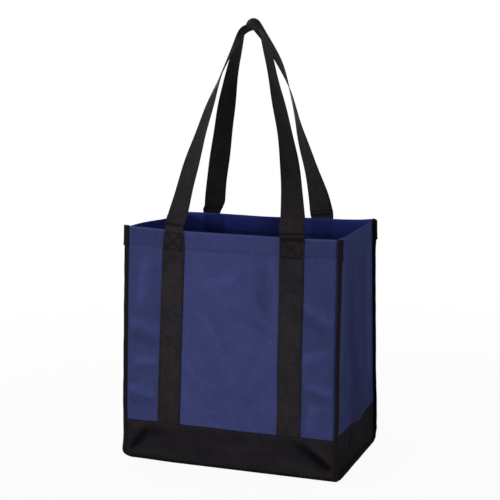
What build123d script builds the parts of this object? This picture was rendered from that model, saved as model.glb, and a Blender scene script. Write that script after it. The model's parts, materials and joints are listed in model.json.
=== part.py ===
"""Shopping tote of non-woven cloth: contrast base, bound side seams, two long straps, loose base board.

Frame: +X to the right of the front panel, -Y out of the front panel, +Z up. The origin lies on the
floor under the middle of the base. All sizes are millimetres and all angles degrees.
"""
import os
from math import asin, atan, atan2, cos, degrees, hypot, radians, sin, sqrt, tan

from build123d import *

# Bag body
BAG_WIDTH = 306.0  # between the two side seams
BAG_HEIGHT = 330.0  # floor to rim
BASE_DEPTH = 210.0  # front to back at the floor
RIM_DEPTH = 172.0  # front to back at the corners of the rim
RIM_BOW = 12.0  # how far the middle of the front and back rims bows outwards
GUSSET_CREASE = 6.0  # how far the middle of each gusset is drawn in at the rim
BAND_HEIGHT = 58.0  # contrast band above the floor
HEM_HEIGHT = 26.0  # doubled cloth below the rim
SEAM_LAP = 10.0  # upper cloth tucked behind the band
INNER_FOLD_RADIUS = 3.5  # innermost layer of the fold between base and band

# Cloth, tape and the sewn seam
CLOTH = 0.5  # non-woven cloth
TAPE = 0.4  # binding tape
PLY_GAP = 0.1  # between two layers sewn together
EDGE_GAP = 0.2  # between the edges of two cloths that butt
SEAM_ALLOWANCE = 7.5  # cloth that stands out past the side seam
TAPE_STANDOFF = 0.6  # inner edge of the binding to the seam
TAPE_FOLD_RADIUS = 0.8  # outside of the tape's fold
CAP_HEIGHT = 28.0  # tape folded over the top end of each binding

# Straps
STRAP_WIDTH = 34.0
STRAP_THICKNESS = 1.2
STRAP_SPACING = 174.0  # between the middles of the two legs of a strap
STRAP_GAP = 0.2  # back of a leg to the panel
HANDLE_RISE = 291.0  # rim to the top of the loop, along the loop
HANDLE_FOOT_ANGLE = 6.0  # how far each side of a loop turns towards the other at the rim
HANDLE_TOP_RADIUS = 16.0  # middle of the strap over the top of the loop
HANDLE_GAP = 1.0  # between the tops of the two loops
BEND_GAP = 0.5  # between a leg and the loop at the rim
FOOT_TRIM = 0.02  # share of a side drawn below the rim, then cut level with it
LEG_SECTIONS = 8  # twisted sections along each side of a loop

# Base board
BOARD_THICKNESS = 2.0
BOARD_SEAT = 0.3  # underside to the base cloth
BOARD_SIDE_GAP = 2.5  # to the gussets, also when tilted
BOARD_END_GAP = 0.5  # to the start of the base folds
BOARD_CORNER = 10.0  # rounded corners in plan

# Derived insets of each layer, measured inwards from the outer face of the base wrap
HALF_WIDTH = BAG_WIDTH / 2
LEAN = degrees(atan((BASE_DEPTH - RIM_DEPTH) / 2 / BAG_HEIGHT))
PLY = CLOTH + PLY_GAP
FLAP_STEP = TAPE + PLY_GAP
PANEL_INSET = PLY
FLANGE_INSET = FLAP_STEP + 2 * PLY
TAPE_INSET = FLAP_STEP + 3 * PLY
DEEPEST_INSET = TAPE_INSET + TAPE + PLY_GAP + TAPE
FLAP_END = HALF_WIDTH + SEAM_ALLOWANCE
BAND_EDGE = BAND_HEIGHT + EDGE_GAP
LAP_BASE = BAND_HEIGHT - SEAM_LAP
HEM_BASE = BAG_HEIGHT - HEM_HEIGHT
PANEL_HALF = HALF_WIDTH - PLY
GUSSET_FACE = HALF_WIDTH - PLY
HEM_HALF = GUSSET_FACE - 2 * CLOTH - 2 * PLY_GAP
STRAP_MID = STRAP_SPACING / 2
FAR = 2 * (BAG_WIDTH + BAG_HEIGHT + BASE_DEPTH + HANDLE_RISE)


def front_y(z, inset):
    """Y of the leaning front face at height z, a layer's inset behind the outer face."""
    return -BASE_DEPTH / 2 + z * tan(radians(LEAN)) + inset / cos(radians(LEAN))


def rise(z):
    """Share of the way from the top of the band to the rim, nought below the band."""
    return max(z - BAND_EDGE, 0.0) / (BAG_HEIGHT - BAND_EDGE)


def bow_at(x, z):
    """Outward bow of the front panel at x and height z: a circular arc over the panel's chord."""
    sagitta = RIM_BOW * rise(z)
    if sagitta == 0:
        return 0.0
    radius = (PANEL_HALF**2 + sagitta**2) / (2 * sagitta)
    return sqrt(radius**2 - x**2) - (radius - sagitta)


def slab(low, high):
    """Everything between two heights."""
    return Pos(0, 0, (low + high) / 2) * Box(FAR, FAR, high - low)


def half(sign):
    """Everything on the front (-1) or back (+1) side."""
    return Pos(0, sign * FAR / 2, 0) * Box(FAR, FAR, FAR)


def both_sides(right):
    """A right-hand piece and its mirror image."""
    return right, mirror(right, about=Plane.YZ)


def channel_face(inset):
    """Side outline of front, base and back at an inset, closed across the rim."""
    low, high = front_y(inset, inset), front_y(BAG_HEIGHT, inset)
    corners = [(low, inset), (-low, inset), (-high, BAG_HEIGHT), (high, BAG_HEIGHT)]
    outline = make_face(Polyline(*corners, close=True))
    folds = outline.vertices().group_by(Axis.Y)[0]
    return Plane.YZ * fillet(folds, INNER_FOLD_RADIUS + DEEPEST_INSET - inset)


def layer(outer, inner, x_from, x_to):
    """Sheet between two insets that follows front, base and back, from one x to another."""
    ring = channel_face(outer) - channel_face(inner)
    return Pos(x_from, 0, 0) * extrude(ring, amount=x_to - x_from, dir=(1, 0, 0))


def plan_curve(inset, half_span, z):
    """Bowed line of the front panel at height z, left to right."""
    ends = [(side * half_span, front_y(z, inset) - bow_at(half_span, z)) for side in (-1, 1)]
    if rise(z) == 0:
        return Line(*ends)
    return ThreePointArc(ends[0], (0, front_y(z, inset) - bow_at(0, z)), ends[1])


def panel_section(z):
    """Plan of the front panel at height z: bowed cloth, a step at each seam, then the seam allowance."""
    face, back = PANEL_INSET, PANEL_INSET + CLOTH
    flap_face, flap_back = front_y(z, face + FLAP_STEP), front_y(z, back + FLAP_STEP)
    outer, inner = plan_curve(face, PANEL_HALF, z), plan_curve(back, PANEL_HALF - CLOTH, z)
    right = Polyline(outer @ 1, (PANEL_HALF, flap_face), (FLAP_END, flap_face), (FLAP_END, flap_back),
                     (PANEL_HALF - CLOTH, flap_back), inner @ 1)
    left = mirror(right, about=Plane.YZ)
    return Pos(0, 0, z) * make_face([*outer.edges(), *inner.edges(), *right.edges(), *left.edges()])


def hem_section(z):
    """Plan of the folded hem behind the front panel at height z, begun inside the panel's own cloth."""
    outer = plan_curve(PANEL_INSET + CLOTH / 2, HEM_HALF, z)
    inner = plan_curve(PANEL_INSET + 2 * CLOTH, HEM_HALF, z)
    ends = [Line(outer @ share, inner @ share) for share in (0, 1)]
    return Pos(0, 0, z) * make_face([*outer.edges(), *inner.edges(), *ends[0].edges(), *ends[1].edges()])


def front_panel():
    """Upper cloth of the front: straight lap behind the band, bowed face and folded hem."""
    lap = loft([panel_section(LAP_BASE), panel_section(BAND_EDGE)], ruled=True)
    face = loft([panel_section(BAND_EDGE), panel_section(BAG_HEIGHT)], ruled=True)
    hem = loft([hem_section(HEM_BASE), hem_section(BAG_HEIGHT)], ruled=True)
    return lap + face + hem


def gusset_section(z):
    """Plan of the right gusset at height z: creased web with a seam flange at each end."""
    crease = GUSSET_CREASE * rise(z)
    near, far = front_y(z, FLANGE_INSET), front_y(z, FLANGE_INSET + CLOTH)
    inside = GUSSET_FACE - CLOTH
    front = [(inside, near), (FLAP_END, near), (FLAP_END, far), (GUSSET_FACE, far)]
    back = [(x, -y) for x, y in reversed(front)]
    points = [(inside - crease, 0), *front, (GUSSET_FACE - crease, 0), *back]
    return Pos(0, 0, z) * make_face(Polyline(*points, close=True))


def gusset_hem_section(z):
    """Plan of the right gusset's folded hem at height z, begun inside the web's own cloth."""
    crease = GUSSET_CREASE * rise(z)
    end = front_y(z, FLANGE_INSET + CLOTH)
    outer, inner = GUSSET_FACE - CLOTH / 2, GUSSET_FACE - 2 * CLOTH
    points = [(outer, end), (outer - crease, 0), (outer, -end), (inner, -end), (inner - crease, 0), (inner, end)]
    return Pos(0, 0, z) * make_face(Polyline(*points, close=True))


def right_gusset():
    """Upper cloth of the right side: lap behind the band, creased face, folded hem."""
    lap_face = channel_face(FLANGE_INSET + PLY)
    lap = Pos(GUSSET_FACE - CLOTH, 0, 0) * extrude(lap_face, amount=CLOTH, dir=(1, 0, 0))
    face = loft([gusset_section(BAND_EDGE), gusset_section(BAG_HEIGHT)], ruled=True)
    hem = loft([gusset_hem_section(HEM_BASE), gusset_hem_section(BAG_HEIGHT)], ruled=True)
    return (lap & slab(LAP_BASE, BAND_EDGE)) + face + hem


def base_wrap():
    """One cloth down the front band, under the bag and up the back band, stepped in at each seam."""
    body = layer(0, CLOTH, -HALF_WIDTH, HALF_WIDTH)
    step = layer(0, FLAP_STEP + CLOTH, HALF_WIDTH - CLOTH, HALF_WIDTH)
    flap = layer(FLAP_STEP, FLAP_STEP + CLOTH, HALF_WIDTH - CLOTH, FLAP_END)
    seam = step + flap
    return (body + seam + mirror(seam, about=Plane.YZ)) & slab(0, BAND_HEIGHT)


def right_gusset_band():
    """Lower cloth of the right side, with a seam flange along its front, base and back edges."""
    web = extrude(channel_face(FLANGE_INSET), amount=CLOTH, dir=(1, 0, 0))
    flange = layer(FLANGE_INSET, FLANGE_INSET + CLOTH, HALF_WIDTH - CLOTH, FLAP_END)
    return (Pos(HALF_WIDTH - CLOTH, 0, 0) * web + flange) & slab(0, BAND_HEIGHT)


def folded_tape(outer, inner, start, fold):
    """Tape folded over the seam: two leaves joined along the fold, its outer leaf at one inset."""
    leaves = layer(outer, outer + TAPE, start, fold) + layer(inner, inner + TAPE, start, fold)
    tape = leaves + layer(outer, inner + TAPE, fold, fold + TAPE)
    rim_edges = tape.edges().group_by(Axis.Z)[-1]
    fold_edges = [edge for edge in tape.edges().group_by(Axis.X)[-1] if edge not in rim_edges]
    return fillet(fold_edges, TAPE_FOLD_RADIUS)


def right_binding():
    """Tape folded over the right side seam, down the front, along the base and up the back."""
    return folded_tape(0, TAPE_INSET, HALF_WIDTH + TAPE_STANDOFF, FLAP_END + PLY_GAP)


def right_front_cap():
    """Short tape folded over the top end of the right front binding."""
    fold = FLAP_END + 2 * PLY_GAP + TAPE
    tape = folded_tape(-PLY_GAP - TAPE, TAPE_INSET + TAPE + PLY_GAP, HALF_WIDTH + TAPE_STANDOFF, fold)
    return tape & slab(BAG_HEIGHT - CAP_HEIGHT, BAG_HEIGHT) & half(-1)


def leg_slope(z):
    """Slope of the bowed panel across the right leg at height z, in plan."""
    edges = [bow_at(STRAP_MID + side * STRAP_WIDTH / 2, z) for side in (-1, 1)]
    return (edges[1] - edges[0]) / STRAP_WIDTH


def leg_section(z):
    """Plan of the right front leg at height z, turned to lie along the bowed panel."""
    face = front_y(z, PANEL_INSET) - bow_at(STRAP_MID, z)
    seat = Pos(STRAP_MID, face, z) * Rot(0, 0, -degrees(atan(leg_slope(z))))
    return seat * Pos(0, -STRAP_GAP - STRAP_THICKNESS / 2, 0) * Rectangle(STRAP_WIDTH, STRAP_THICKNESS)


def right_front_leg():
    """Leg of the front strap sewn to the panel from the band to the rim."""
    return loft([leg_section(BAND_EDGE), leg_section(BAG_HEIGHT)], ruled=True)


def front_loop():
    """Free loop of the front strap: each side turns edge on towards the top, and the loop leans inwards."""
    foot_turn = -atan(leg_slope(BAG_HEIGHT))
    foot_y = front_y(BAG_HEIGHT, PANEL_INSET) - bow_at(STRAP_MID, BAG_HEIGHT) - STRAP_GAP - STRAP_THICKNESS / 2
    reach = hypot(HANDLE_RISE, STRAP_WIDTH / 2)
    lean = asin((-HANDLE_GAP / 2 - foot_y) / reach) - atan2(STRAP_WIDTH / 2, HANDLE_RISE)
    foot = Vector(0, foot_y, BAG_HEIGHT)
    across, up, out = Vector(1, 0, 0), Vector(0, sin(lean), cos(lean)), Vector(0, -cos(lean), sin(lean))
    crown = HANDLE_RISE - HANDLE_TOP_RADIUS
    first = radians(HANDLE_FOOT_ANGLE)
    turn = 2 * atan2(STRAP_MID - HANDLE_TOP_RADIUS * cos(first), crown + HANDLE_TOP_RADIUS * sin(first)) - first
    side_radius = (crown + HANDLE_TOP_RADIUS * sin(turn)) / (sin(turn) - sin(first))
    sections = []
    for step in range(LEG_SECTIONS):
        share = (1 + FOOT_TRIM) * step / (LEG_SECTIONS - 1) - FOOT_TRIM
        angle = first + share * (turn - first)
        twist = foot_turn + share * (radians(90) - foot_turn)
        along = across * -sin(angle) + up * cos(angle)
        outward = across * cos(angle) + up * sin(angle)
        inset, height = side_radius * (cos(first) - cos(angle)), side_radius * (sin(angle) - sin(first))
        point = foot + across * (STRAP_MID - inset) + up * height
        normal = out * cos(twist) + outward * sin(twist)
        plane = Plane(origin=point, x_dir=normal.cross(along), z_dir=along)
        sections.append(plane * Rectangle(STRAP_WIDTH, STRAP_THICKNESS))
    right = loft(sections) & slab(BAG_HEIGHT + BEND_GAP, FAR)
    top_plane = Plane(origin=foot + up * crown, x_dir=across, z_dir=out)
    start, sweep_angle = degrees(turn), 180 - 2 * degrees(turn)
    radii = [HANDLE_TOP_RADIUS + side * STRAP_THICKNESS / 2 for side in (-1, 1)]
    inner, outer = [CenterArc((0, 0), radius, start, sweep_angle) for radius in radii]
    ends = [Line(inner @ share, outer @ share) for share in (0, 1)]
    sector = make_face([*inner.edges(), *outer.edges(), *ends[0].edges(), *ends[1].edges()])
    top = extrude(top_plane * sector, amount=STRAP_WIDTH / 2, both=True)
    return right + top + mirror(right, about=Plane.YZ)


def base_board():
    """Loose stiff sheet on the base, its long edges fully rounded."""
    half_depth = -front_y(CLOTH, CLOTH) - (INNER_FOLD_RADIUS + DEEPEST_INSET - CLOTH) - BOARD_END_GAP
    crease = GUSSET_CREASE * rise(2 * half_depth)
    half_width = GUSSET_FACE - CLOTH - crease - BOARD_SIDE_GAP
    profile = Plane.YZ * SlotOverall(2 * half_depth, BOARD_THICKNESS)
    sheet = extrude(profile, amount=half_width, both=True)
    plan = extrude(RectangleRounded(2 * half_width, 2 * half_depth, BOARD_CORNER), amount=BOARD_THICKNESS, both=True)
    return Pos(0, 0, CLOTH + BOARD_SEAT + BOARD_THICKNESS / 2) * (sheet & plan)


def export_pieces():
    """Write each piece to its own file, named for the piece."""
    pieces = {"base_wrap": base_wrap(), "base_board": base_board()}
    pieces["front_panel"] = front_panel()
    pieces["right_gusset"], pieces["left_gusset"] = both_sides(right_gusset())
    pieces["right_gusset_band"], pieces["left_gusset_band"] = both_sides(right_gusset_band())
    pieces["right_binding"], pieces["left_binding"] = both_sides(right_binding())
    pieces["front_right_cap"], pieces["front_left_cap"] = both_sides(right_front_cap())
    pieces["front_right_leg"], pieces["front_left_leg"] = both_sides(right_front_leg())
    pieces["front_loop"] = front_loop()
    for name in [name for name in pieces if name.startswith("front_")]:
        pieces[name.replace("front_", "back_")] = mirror(pieces[name], about=Plane.XZ)
    os.makedirs("parts", exist_ok=True)
    for name, solid in pieces.items():
        export_step(solid, f"parts/{name}.step")


export_pieces()
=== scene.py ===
"""Shopping tote of non-woven cloth: its cloths, bindings, straps, stitching, finishes and studio stage.

Lengths are metres in the frame of the solids: +X to the right of the front panel, -Y out of the front
panel, +Z up, the floor at nought. Tables of folds, waves and shifts give millimetres. Run as a script, it
builds every piece in order.
"""
import json
from math import atan, atan2, ceil, cos, hypot, pi, radians, sin, tan

import bmesh
import bpy
import numpy as np
from bpy.props import FloatProperty, FloatVectorProperty, PointerProperty
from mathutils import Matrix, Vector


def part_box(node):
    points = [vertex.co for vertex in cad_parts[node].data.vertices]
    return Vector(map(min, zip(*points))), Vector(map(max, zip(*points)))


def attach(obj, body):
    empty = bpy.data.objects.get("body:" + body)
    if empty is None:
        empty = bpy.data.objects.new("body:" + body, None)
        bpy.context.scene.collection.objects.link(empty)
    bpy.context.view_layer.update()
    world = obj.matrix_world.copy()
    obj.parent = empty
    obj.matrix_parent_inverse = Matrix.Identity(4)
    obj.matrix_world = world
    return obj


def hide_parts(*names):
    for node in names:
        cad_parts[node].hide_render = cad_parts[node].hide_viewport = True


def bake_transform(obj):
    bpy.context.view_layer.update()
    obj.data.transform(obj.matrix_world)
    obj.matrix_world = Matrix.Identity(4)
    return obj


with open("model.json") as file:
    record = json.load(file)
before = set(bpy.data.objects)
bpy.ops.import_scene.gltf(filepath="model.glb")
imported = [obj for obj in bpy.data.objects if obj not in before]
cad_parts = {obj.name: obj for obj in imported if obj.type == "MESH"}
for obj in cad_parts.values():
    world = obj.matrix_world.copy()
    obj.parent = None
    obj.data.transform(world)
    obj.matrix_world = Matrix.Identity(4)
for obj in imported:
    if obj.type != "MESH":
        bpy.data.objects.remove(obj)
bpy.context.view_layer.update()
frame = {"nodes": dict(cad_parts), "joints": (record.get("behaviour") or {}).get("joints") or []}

bl_info = {
    "name": "Non-woven shopping tote",
    "version": (1, 0, 0),
    "blender": (4, 5, 0),
    "location": "View3D > Sidebar > Tote",
    "description": "Builds a shopping tote from cloth panels, bound seams, straps and stitching",
    "category": "Add Mesh",
}

MM = 0.001
FLAT_MAP = "Flat"  # the cloth's own coordinates before sewing, in metres
WEAR_AND_SHADE_MAP = "wear_and_shade"  # above nought where cloth is rubbed lighter and where light is painted, below where it is pressed and where shade is painted
WHITE = (1, 1, 1, 1)
SIDES = {"front": -1, "back": 1}
HANDS = {"left": -1, "right": 1}

# Layers of the sewn seam, measured inwards from the outer face of the base wrap
PLY_GAP = 0.1 * MM
TAPE = 0.4 * MM
FLAP_STEP = TAPE + PLY_GAP
FLANGE_INSET = 1.7 * MM
TAPE_BACK = 2.7 * MM
SEAM_ALLOWANCE = 7.5 * MM
TAPE_STANDOFF = 0.6 * MM
FOLD_RADIUS = 6.7 * MM
SEAM_LAP = 10 * MM
FLAP_OVERLAP = 0.3 * MM  # a seam flap starts this far inside its face
WEB_END = 1.2 * MM  # a gusset ends this far short of the faces
# Degrees that each bound seam turns away from its panel, left then right, along the body and at its top end
FLAP_TURN = {"front": (-12.0, 38.0), "back": (10.0, -50.0)}
FLAP_TURN_TOP = {"front": (-12.0, 28.0), "back": (10.0, -36.0)}
FLAP_TUCK = (1.0, 0.45)  # share of a seam flap that shows along the floor, at the front and at the back

# Short tape over the top end of a binding: its height, half width, half thickness, distance of its middle
# from the seam, and where it starts to close and how high
CAP_HEIGHT, CAP_HALF, CAP_THICK, CAP_MIDDLE = 28 * MM, 4.5 * MM, 2.05 * MM, 4.55 * MM
CAP_SHOULDER, CAP_RIDGE = 1.2 * MM, 2.0 * MM

# Spacing of rows: along a face, round a fold and on both sides of a hem's edge
ROW, FOLD_ROW, HEM_ZONE = 3.2 * MM, 1.3 * MM, 8 * MM
PANEL_COLUMNS, GUSSET_COLUMNS, BASE_COLUMNS = 105, 67, 131

# Rows of stitches: above a hem's edge, below a band's top, outside a seam and, as a share of a strap's width,
# from its middle; half width of the line that they press into a strap, and how deep a crossed box is pressed
HEM_STITCH, BAND_STITCH, TAPE_STITCH, EDGE_STITCH = 2.0 * MM, 2.4 * MM, 2.0 * MM, 0.425
STITCH_DENT, BOX_DENT = 0.9 * MM, 0.45 * MM

# Long soft waves of a face: length across, length up, phase, height
WAVES = {
    "front": ((230, 310, 0.4, 0.60), (140, -190, 2.1, 0.45), (310, 120, 4.0, 0.55),
              (-90, 150, 1.2, 0.30), (75, 130, 5.1, 0.22), (52, -71, 0.8, 0.12)),
    "back": ((270, -280, 1.9, 0.65), (160, 210, 0.3, 0.45), (-350, 130, 3.1, 0.55),
             (100, 160, 5.2, 0.30), (80, -120, 2.6, 0.22), (55, 68, 1.7, 0.12)),
}

# Single folds of a face or a gusset: x or y, z, angle from level, half length, half width, height outwards
FOLDS = {
    "front": ((-137.5, 26, 52, 24, 5.5, -4.2), (-108, 42.5, 3, 17, 5.5, -2.2), (-133, 49, 20, 13, 5.5, 3),
              (-112, 14, 10, 28, 5.5, 2.4), (138.6, 24.2, 146, 36, 5.8, -4.8), (103, 44.5, 147, 12, 6, -1.8),
              (136, 42.5, 149, 20, 6.2, 3.4), (106, 16.5, 170, 32, 6.5, 2.8), (55, 263.4, 95, 36, 8.5, -3.2),
              (38, 210.2, 152, 34, 6, -3), (52, 239.8, 118, 30, 6, -2.2), (-20, 192.1, 117, 32, 9, 3.4),
              (-57, 145.6, 122, 20, 7, 2.8), (-25, 120.2, 157, 27, 7, 3.2), (-15, 263, 10, 40, 12, 4),
              (22, 151, 62, 40, 13, 2.6), (40, 108.8, 48, 30, 10, -2.6), (-8, 81.9, 6, 50, 8, 2.4),
              (-127, 193.4, -14, 24, 6, 2.8), (-127, 174.7, -14, 22, 6.5, -2.8), (-122, 144.2, 4, 18, 4.5, 2),
              (-122, 130.4, 4, 18, 5, -2), (-131, 100.8, -15, 22, 6, 2.6), (-131, 85.1, -15, 22, 6, -2.6),
              (-128, 254.4, 82, 30, 7, 2.4), (130, 230.4, -28, 24, 7, 2.6), (131, 210.8, -28, 24, 7, -2.6),
              (128, 171.4, 12, 22, 6, 2.6), (135, 125.2, -14, 20, 4.5, 2.4), (135, 112.4, -14, 20, 4.5, -2.6),
              (122, 84.7, 80, 18, 8, 2), (50, 299, 20, 24, 6, -1.4), (20, 34.9, 4, 70, 9, 1.4),
              (-45, 24.6, 176, 50, 7, -1.2)),
    "back": ((128, 25, 150, 26, 4.5, -2.3), (121, 17, 152, 30, 7.5, 1.4), (-134, 23, 36, 26, 5.0, -2.5),
             (-140, 33, 36, 20, 7.0, 1.6), (10, 170, 82, 85, 15.0, 0.9), (-36, 130, 108, 70, 13.0, -0.7),
             (40, 230, 64, 45, 10.0, -0.6), (130, 150, 96, 60, 12.0, 0.7), (-134, 170, 88, 50, 12.0, 0.7),
             (-30, 285, 170, 40, 8.0, -0.5), (16, 28, 176, 70, 9.0, 0.8), (-50, 88, 50, 40, 10.0, 0.6)),
    "right": ((20, 123, 129, 55, 8.5, -0.9), (34, 126, 129, 48, 9.0, 0.9), (-46, 240, 92, 70, 9.0, 0.4),
              (-22, 260, 91, 60, 9.0, -0.5), (50, 270, 84, 50, 9.0, 0.7), (-30, 36, 60, 22, 7.0, -1.2),
              (52, 30, 118, 24, 8.0, -1.3), (10, 28, 96, 18, 9.0, 0.9)),
    "left": ((-24, 130, 58, 50, 8.0, -1.5), (-40, 136, 58, 45, 8.0, 1.3), (40, 250, 90, 60, 8.0, -1.0),
             (-30, 270, 96, 50, 8.0, 0.7), (34, 34, 62, 22, 7.0, -1.2), (-50, 30, 116, 24, 8.0, 1.0)),
}

# Puckers along the stitches of the hem, the band and the seams: height, length, reach; how their length drifts
HEM_PUCKERS, LAP_PUCKERS, SEAM_PUCKERS = (0.22, 11, 7), (0.30, 17, 9), (0.45, 24, 7)
PUCKER_DRIFT, SEAM_DRIFT = 57 * MM, 100 * MM
# A face is still this near a seam and the floor; a sewn strap holds it by a share, out to a share of its width
STILL_SEAM, STILL_FLOOR, STRAP_HOLD, STRAP_HALO = 16 * MM, 20 * MM, 0.85, 0.74
# How a gusset's cloth dips at the band: depth, place and width as shares of the way back; its rise at the back
BAND_DIP, BAND_RISE = (7.0, 0.62, 0.13), (3.3, 0.70)
# How each rim dips: depth, place and width along the rim as shares, height of its ripple
RIM_DIPS = {"front": (-1.5, 0.40, 0.35, 0.3), "back": (2.2, 0.45, 0.28, 0.3),
            "right": (0.9, 0.7, 0.2, 0.4), "left": (1.8, 0.70, 0.2, 0.2)}

# Where each corner seam wanders: side in x, side in y, height, half length, shift in x, shift in y
CORNER_SHIFTS = ((1, 1, 262, 70, 0.1, 0.8), (1, 1, 150, 60, 0.9, -0.6), (1, 1, 50, 45, 1.9, 0.4),
                 (1, -1, 200, 80, -0.7, -0.8), (1, -1, 90, 40, 0.5, 0.6), (1, -1, 325, 50, -1.8, 0.0),
                 (-1, -1, 230, 70, -0.5, 0.5), (-1, -1, 110, 50, 0.2, -0.7), (-1, -1, 30, 30, 1.2, 0.0),
                 (-1, 1, 240, 80, 2.4, -0.7), (-1, 1, 110, 50, 0.9, 0.8))
# How far a top corner is drawn up: side in x, side in y, height, how steeply it falls away
CORNER_LIFTS = ((1, 1, 5.0, 12), (-1, -1, 2.8, 4))
# Rounding of each bottom corner: side in x, side in y, radius, how far its edge stands off the floor
CORNER_ROUNDS = ((-1, -1, 13, 2.4), (1, -1, 6, 0.0), (1, 1, 3.5, 0.0), (-1, 1, 11, 1.0))

# Each strap in metres and degrees. Left side then right side: leg x at the band and under the rim, x of the
# loop's foot, its angle there, twist at the foot and at the top, the twist's power, slow and quick sway, share of
# the side that stays flush with its panel, creases past the rim in millimetres, and how it is drawn in at the rim
# (share, half length, which edge it leans to). Then the place of the loop's top and the radius of its crown
STRAP_RUNS = {
    "front": {"low": (-0.0888, 0.0885), "high": (-0.0812, 0.0912), "foot": (-0.0789, 0.0917),
              "angle": (5.4, 5.9), "twist": (13.3, -5.0), "turned": (80.5, 91.5), "power": (1.30, 0.40),
              "sway": ((-0.0011, 0.0013), (0.0008, 0.0)), "flush": (0.055, 0.055),
              "puckers": ((8.5,), (5.4, -1.2)), "pinch": ((0.17, 0.014, 0), (0.0, 0.02, 0)),
              "top": (0.0053, -0.017, 0.6064), "crown": 0.0182},
    "back": {"low": (-0.0944, 0.0774), "high": (-0.0966, 0.0731), "foot": (-0.0998, 0.0733),
             "angle": (11.2, 3.4), "twist": (45.8, -34.4), "turned": (100.0, 89.0), "power": (2.45, 0.47),
             "sway": ((-0.0027, 0.0), (-0.0039, 0.0029)), "flush": (0.018, 0.012),
             "puckers": ((8.0, 3.0), (6.0,)), "pinch": ((0.24, 0.010, 1), (0.0, 0.02, 0)),
             "top": (-0.0095, -0.017, 0.6132), "crown": 0.010},
}
LEG_LOW, LEG_HIGH = 0.075, 0.303  # heights at which the legs' places are given
STRAP_GAP = 0.2 * MM
STRAP_TUCK = 8 * MM  # strap end under the top of the band
LOOP_GAP = 0.3 * MM  # between a loop's foot and the rim
# Ridges beside a crease across a strap: distance, half width, share of their height; half width of the crease's
# painted shade
CREASE_RIDGES, CREASE_HEIGHT, CREASE_HALF = ((3.2, 2.1, 1.0), (-3.0, 1.8, 0.8)), 1.3 * MM, 1.7 * MM
RIM_ZONE, LOOP_STEP = 34 * MM, 4.5  # rows of a strap are a millimetre apart this near the rim, else LOOP_STEP
# Length and height of a free loop's curl and of its sway from edge to edge, and where on the strap they start
LOOP_CURL, LOOP_SWAY, LOOP_PHASE = (190 * MM, 0.9 * MM), (83 * MM, 0.5 * MM), {"front": 0.6, "back": 2.4}
# How far a binding's fold wanders, how far its leaves puff up, and where along it they start
TAPE_WANDER, TAPE_PUFF, TAPE_PHASE = 0.18 * MM, 0.16 * MM, {"left": 2.9, "right": 0.7}


def eased(low, high, value):
    """Smooth step: nought below low, one above high, 3t^2 - 2t^3 between."""
    t = np.clip((value - low) / (high - low), 0, 1)
    return t * t * (3 - 2 * t)


def hump(value, centre, width):
    """Bell curve of height one: exp(-((value - centre) / width)^2)."""
    return np.exp(-(((value - centre) / width) ** 2))


def folds(u, v, table):
    """Sum of single folds in millimetres: a bell curve across each line, fading by the fourth power along it."""
    total = np.zeros(np.broadcast(u, v).shape)
    for u0, v0, angle, length, width, height in table:
        c, s = cos(radians(angle)), sin(radians(angle))
        off_u, off_v = u - u0 * MM, v - v0 * MM
        along, across = off_u * c + off_v * s, off_v * c - off_u * s
        total += height * np.exp(-((across / (width * MM)) ** 2) - (along / (length * MM)) ** 4)
    return total


def waves(u, v, table):
    """Sum of long sine waves in millimetres, each with a length along u and along v."""
    total = np.zeros(np.broadcast(u, v).shape)
    for long_u, long_v, phase, height in table:
        total += height * np.sin(2 * pi * (u / (long_u * MM) + v / (long_v * MM)) + phase)
    return total


def unit(vectors):
    """Vectors scaled to length one."""
    return vectors / np.maximum(np.linalg.norm(vectors, axis=-1, keepdims=True), 1e-12)


def run_length(*columns):
    """Distance along a row of points, from nought; each coordinate is one column."""
    steps = np.diff(np.stack(columns, axis=1), axis=0)
    return np.concatenate([[0], np.cumsum(np.linalg.norm(steps, axis=1))])


def sampled(places, along, *tables):
    """Each table of vectors, given along a line, read at other places on it."""
    return [np.stack([np.interp(places, along, column) for column in table.T], axis=-1) for table in tables]


def smoothed(table, reach=18, width=6.0):
    """A table of vectors blurred over its rows by a bell curve."""
    kernel = hump(np.arange(-reach, reach + 1), 0, width)
    kernel /= kernel.sum()
    padded = [np.pad(column, reach, "reflect", reflect_type="odd") for column in table.T]
    return np.stack([np.convolve(column, kernel, "valid") for column in padded], axis=-1)


def lay(u, v):
    """Flat coordinates of a grid: u along its rows, v from row to row."""
    return np.stack(np.broadcast_arrays(u[None, :], v[:, None]), axis=-1)


def spaced_rows(marks, steps):
    """Numbers from the first mark to the last, each stretch between marks cut into about its own step."""
    pieces = [np.linspace(a, b, max(2, ceil(abs(b - a) / step) + 1))[:-1]
              for a, b, step in zip(marks, marks[1:], steps)]
    return np.concatenate([*pieces, [marks[-1]]])


def nearness(value, half, most=1.0):
    """Share of the way from one side, at minus half, to the other side."""
    return np.clip(0.5 + 0.5 * value / half, 0, most)


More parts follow.
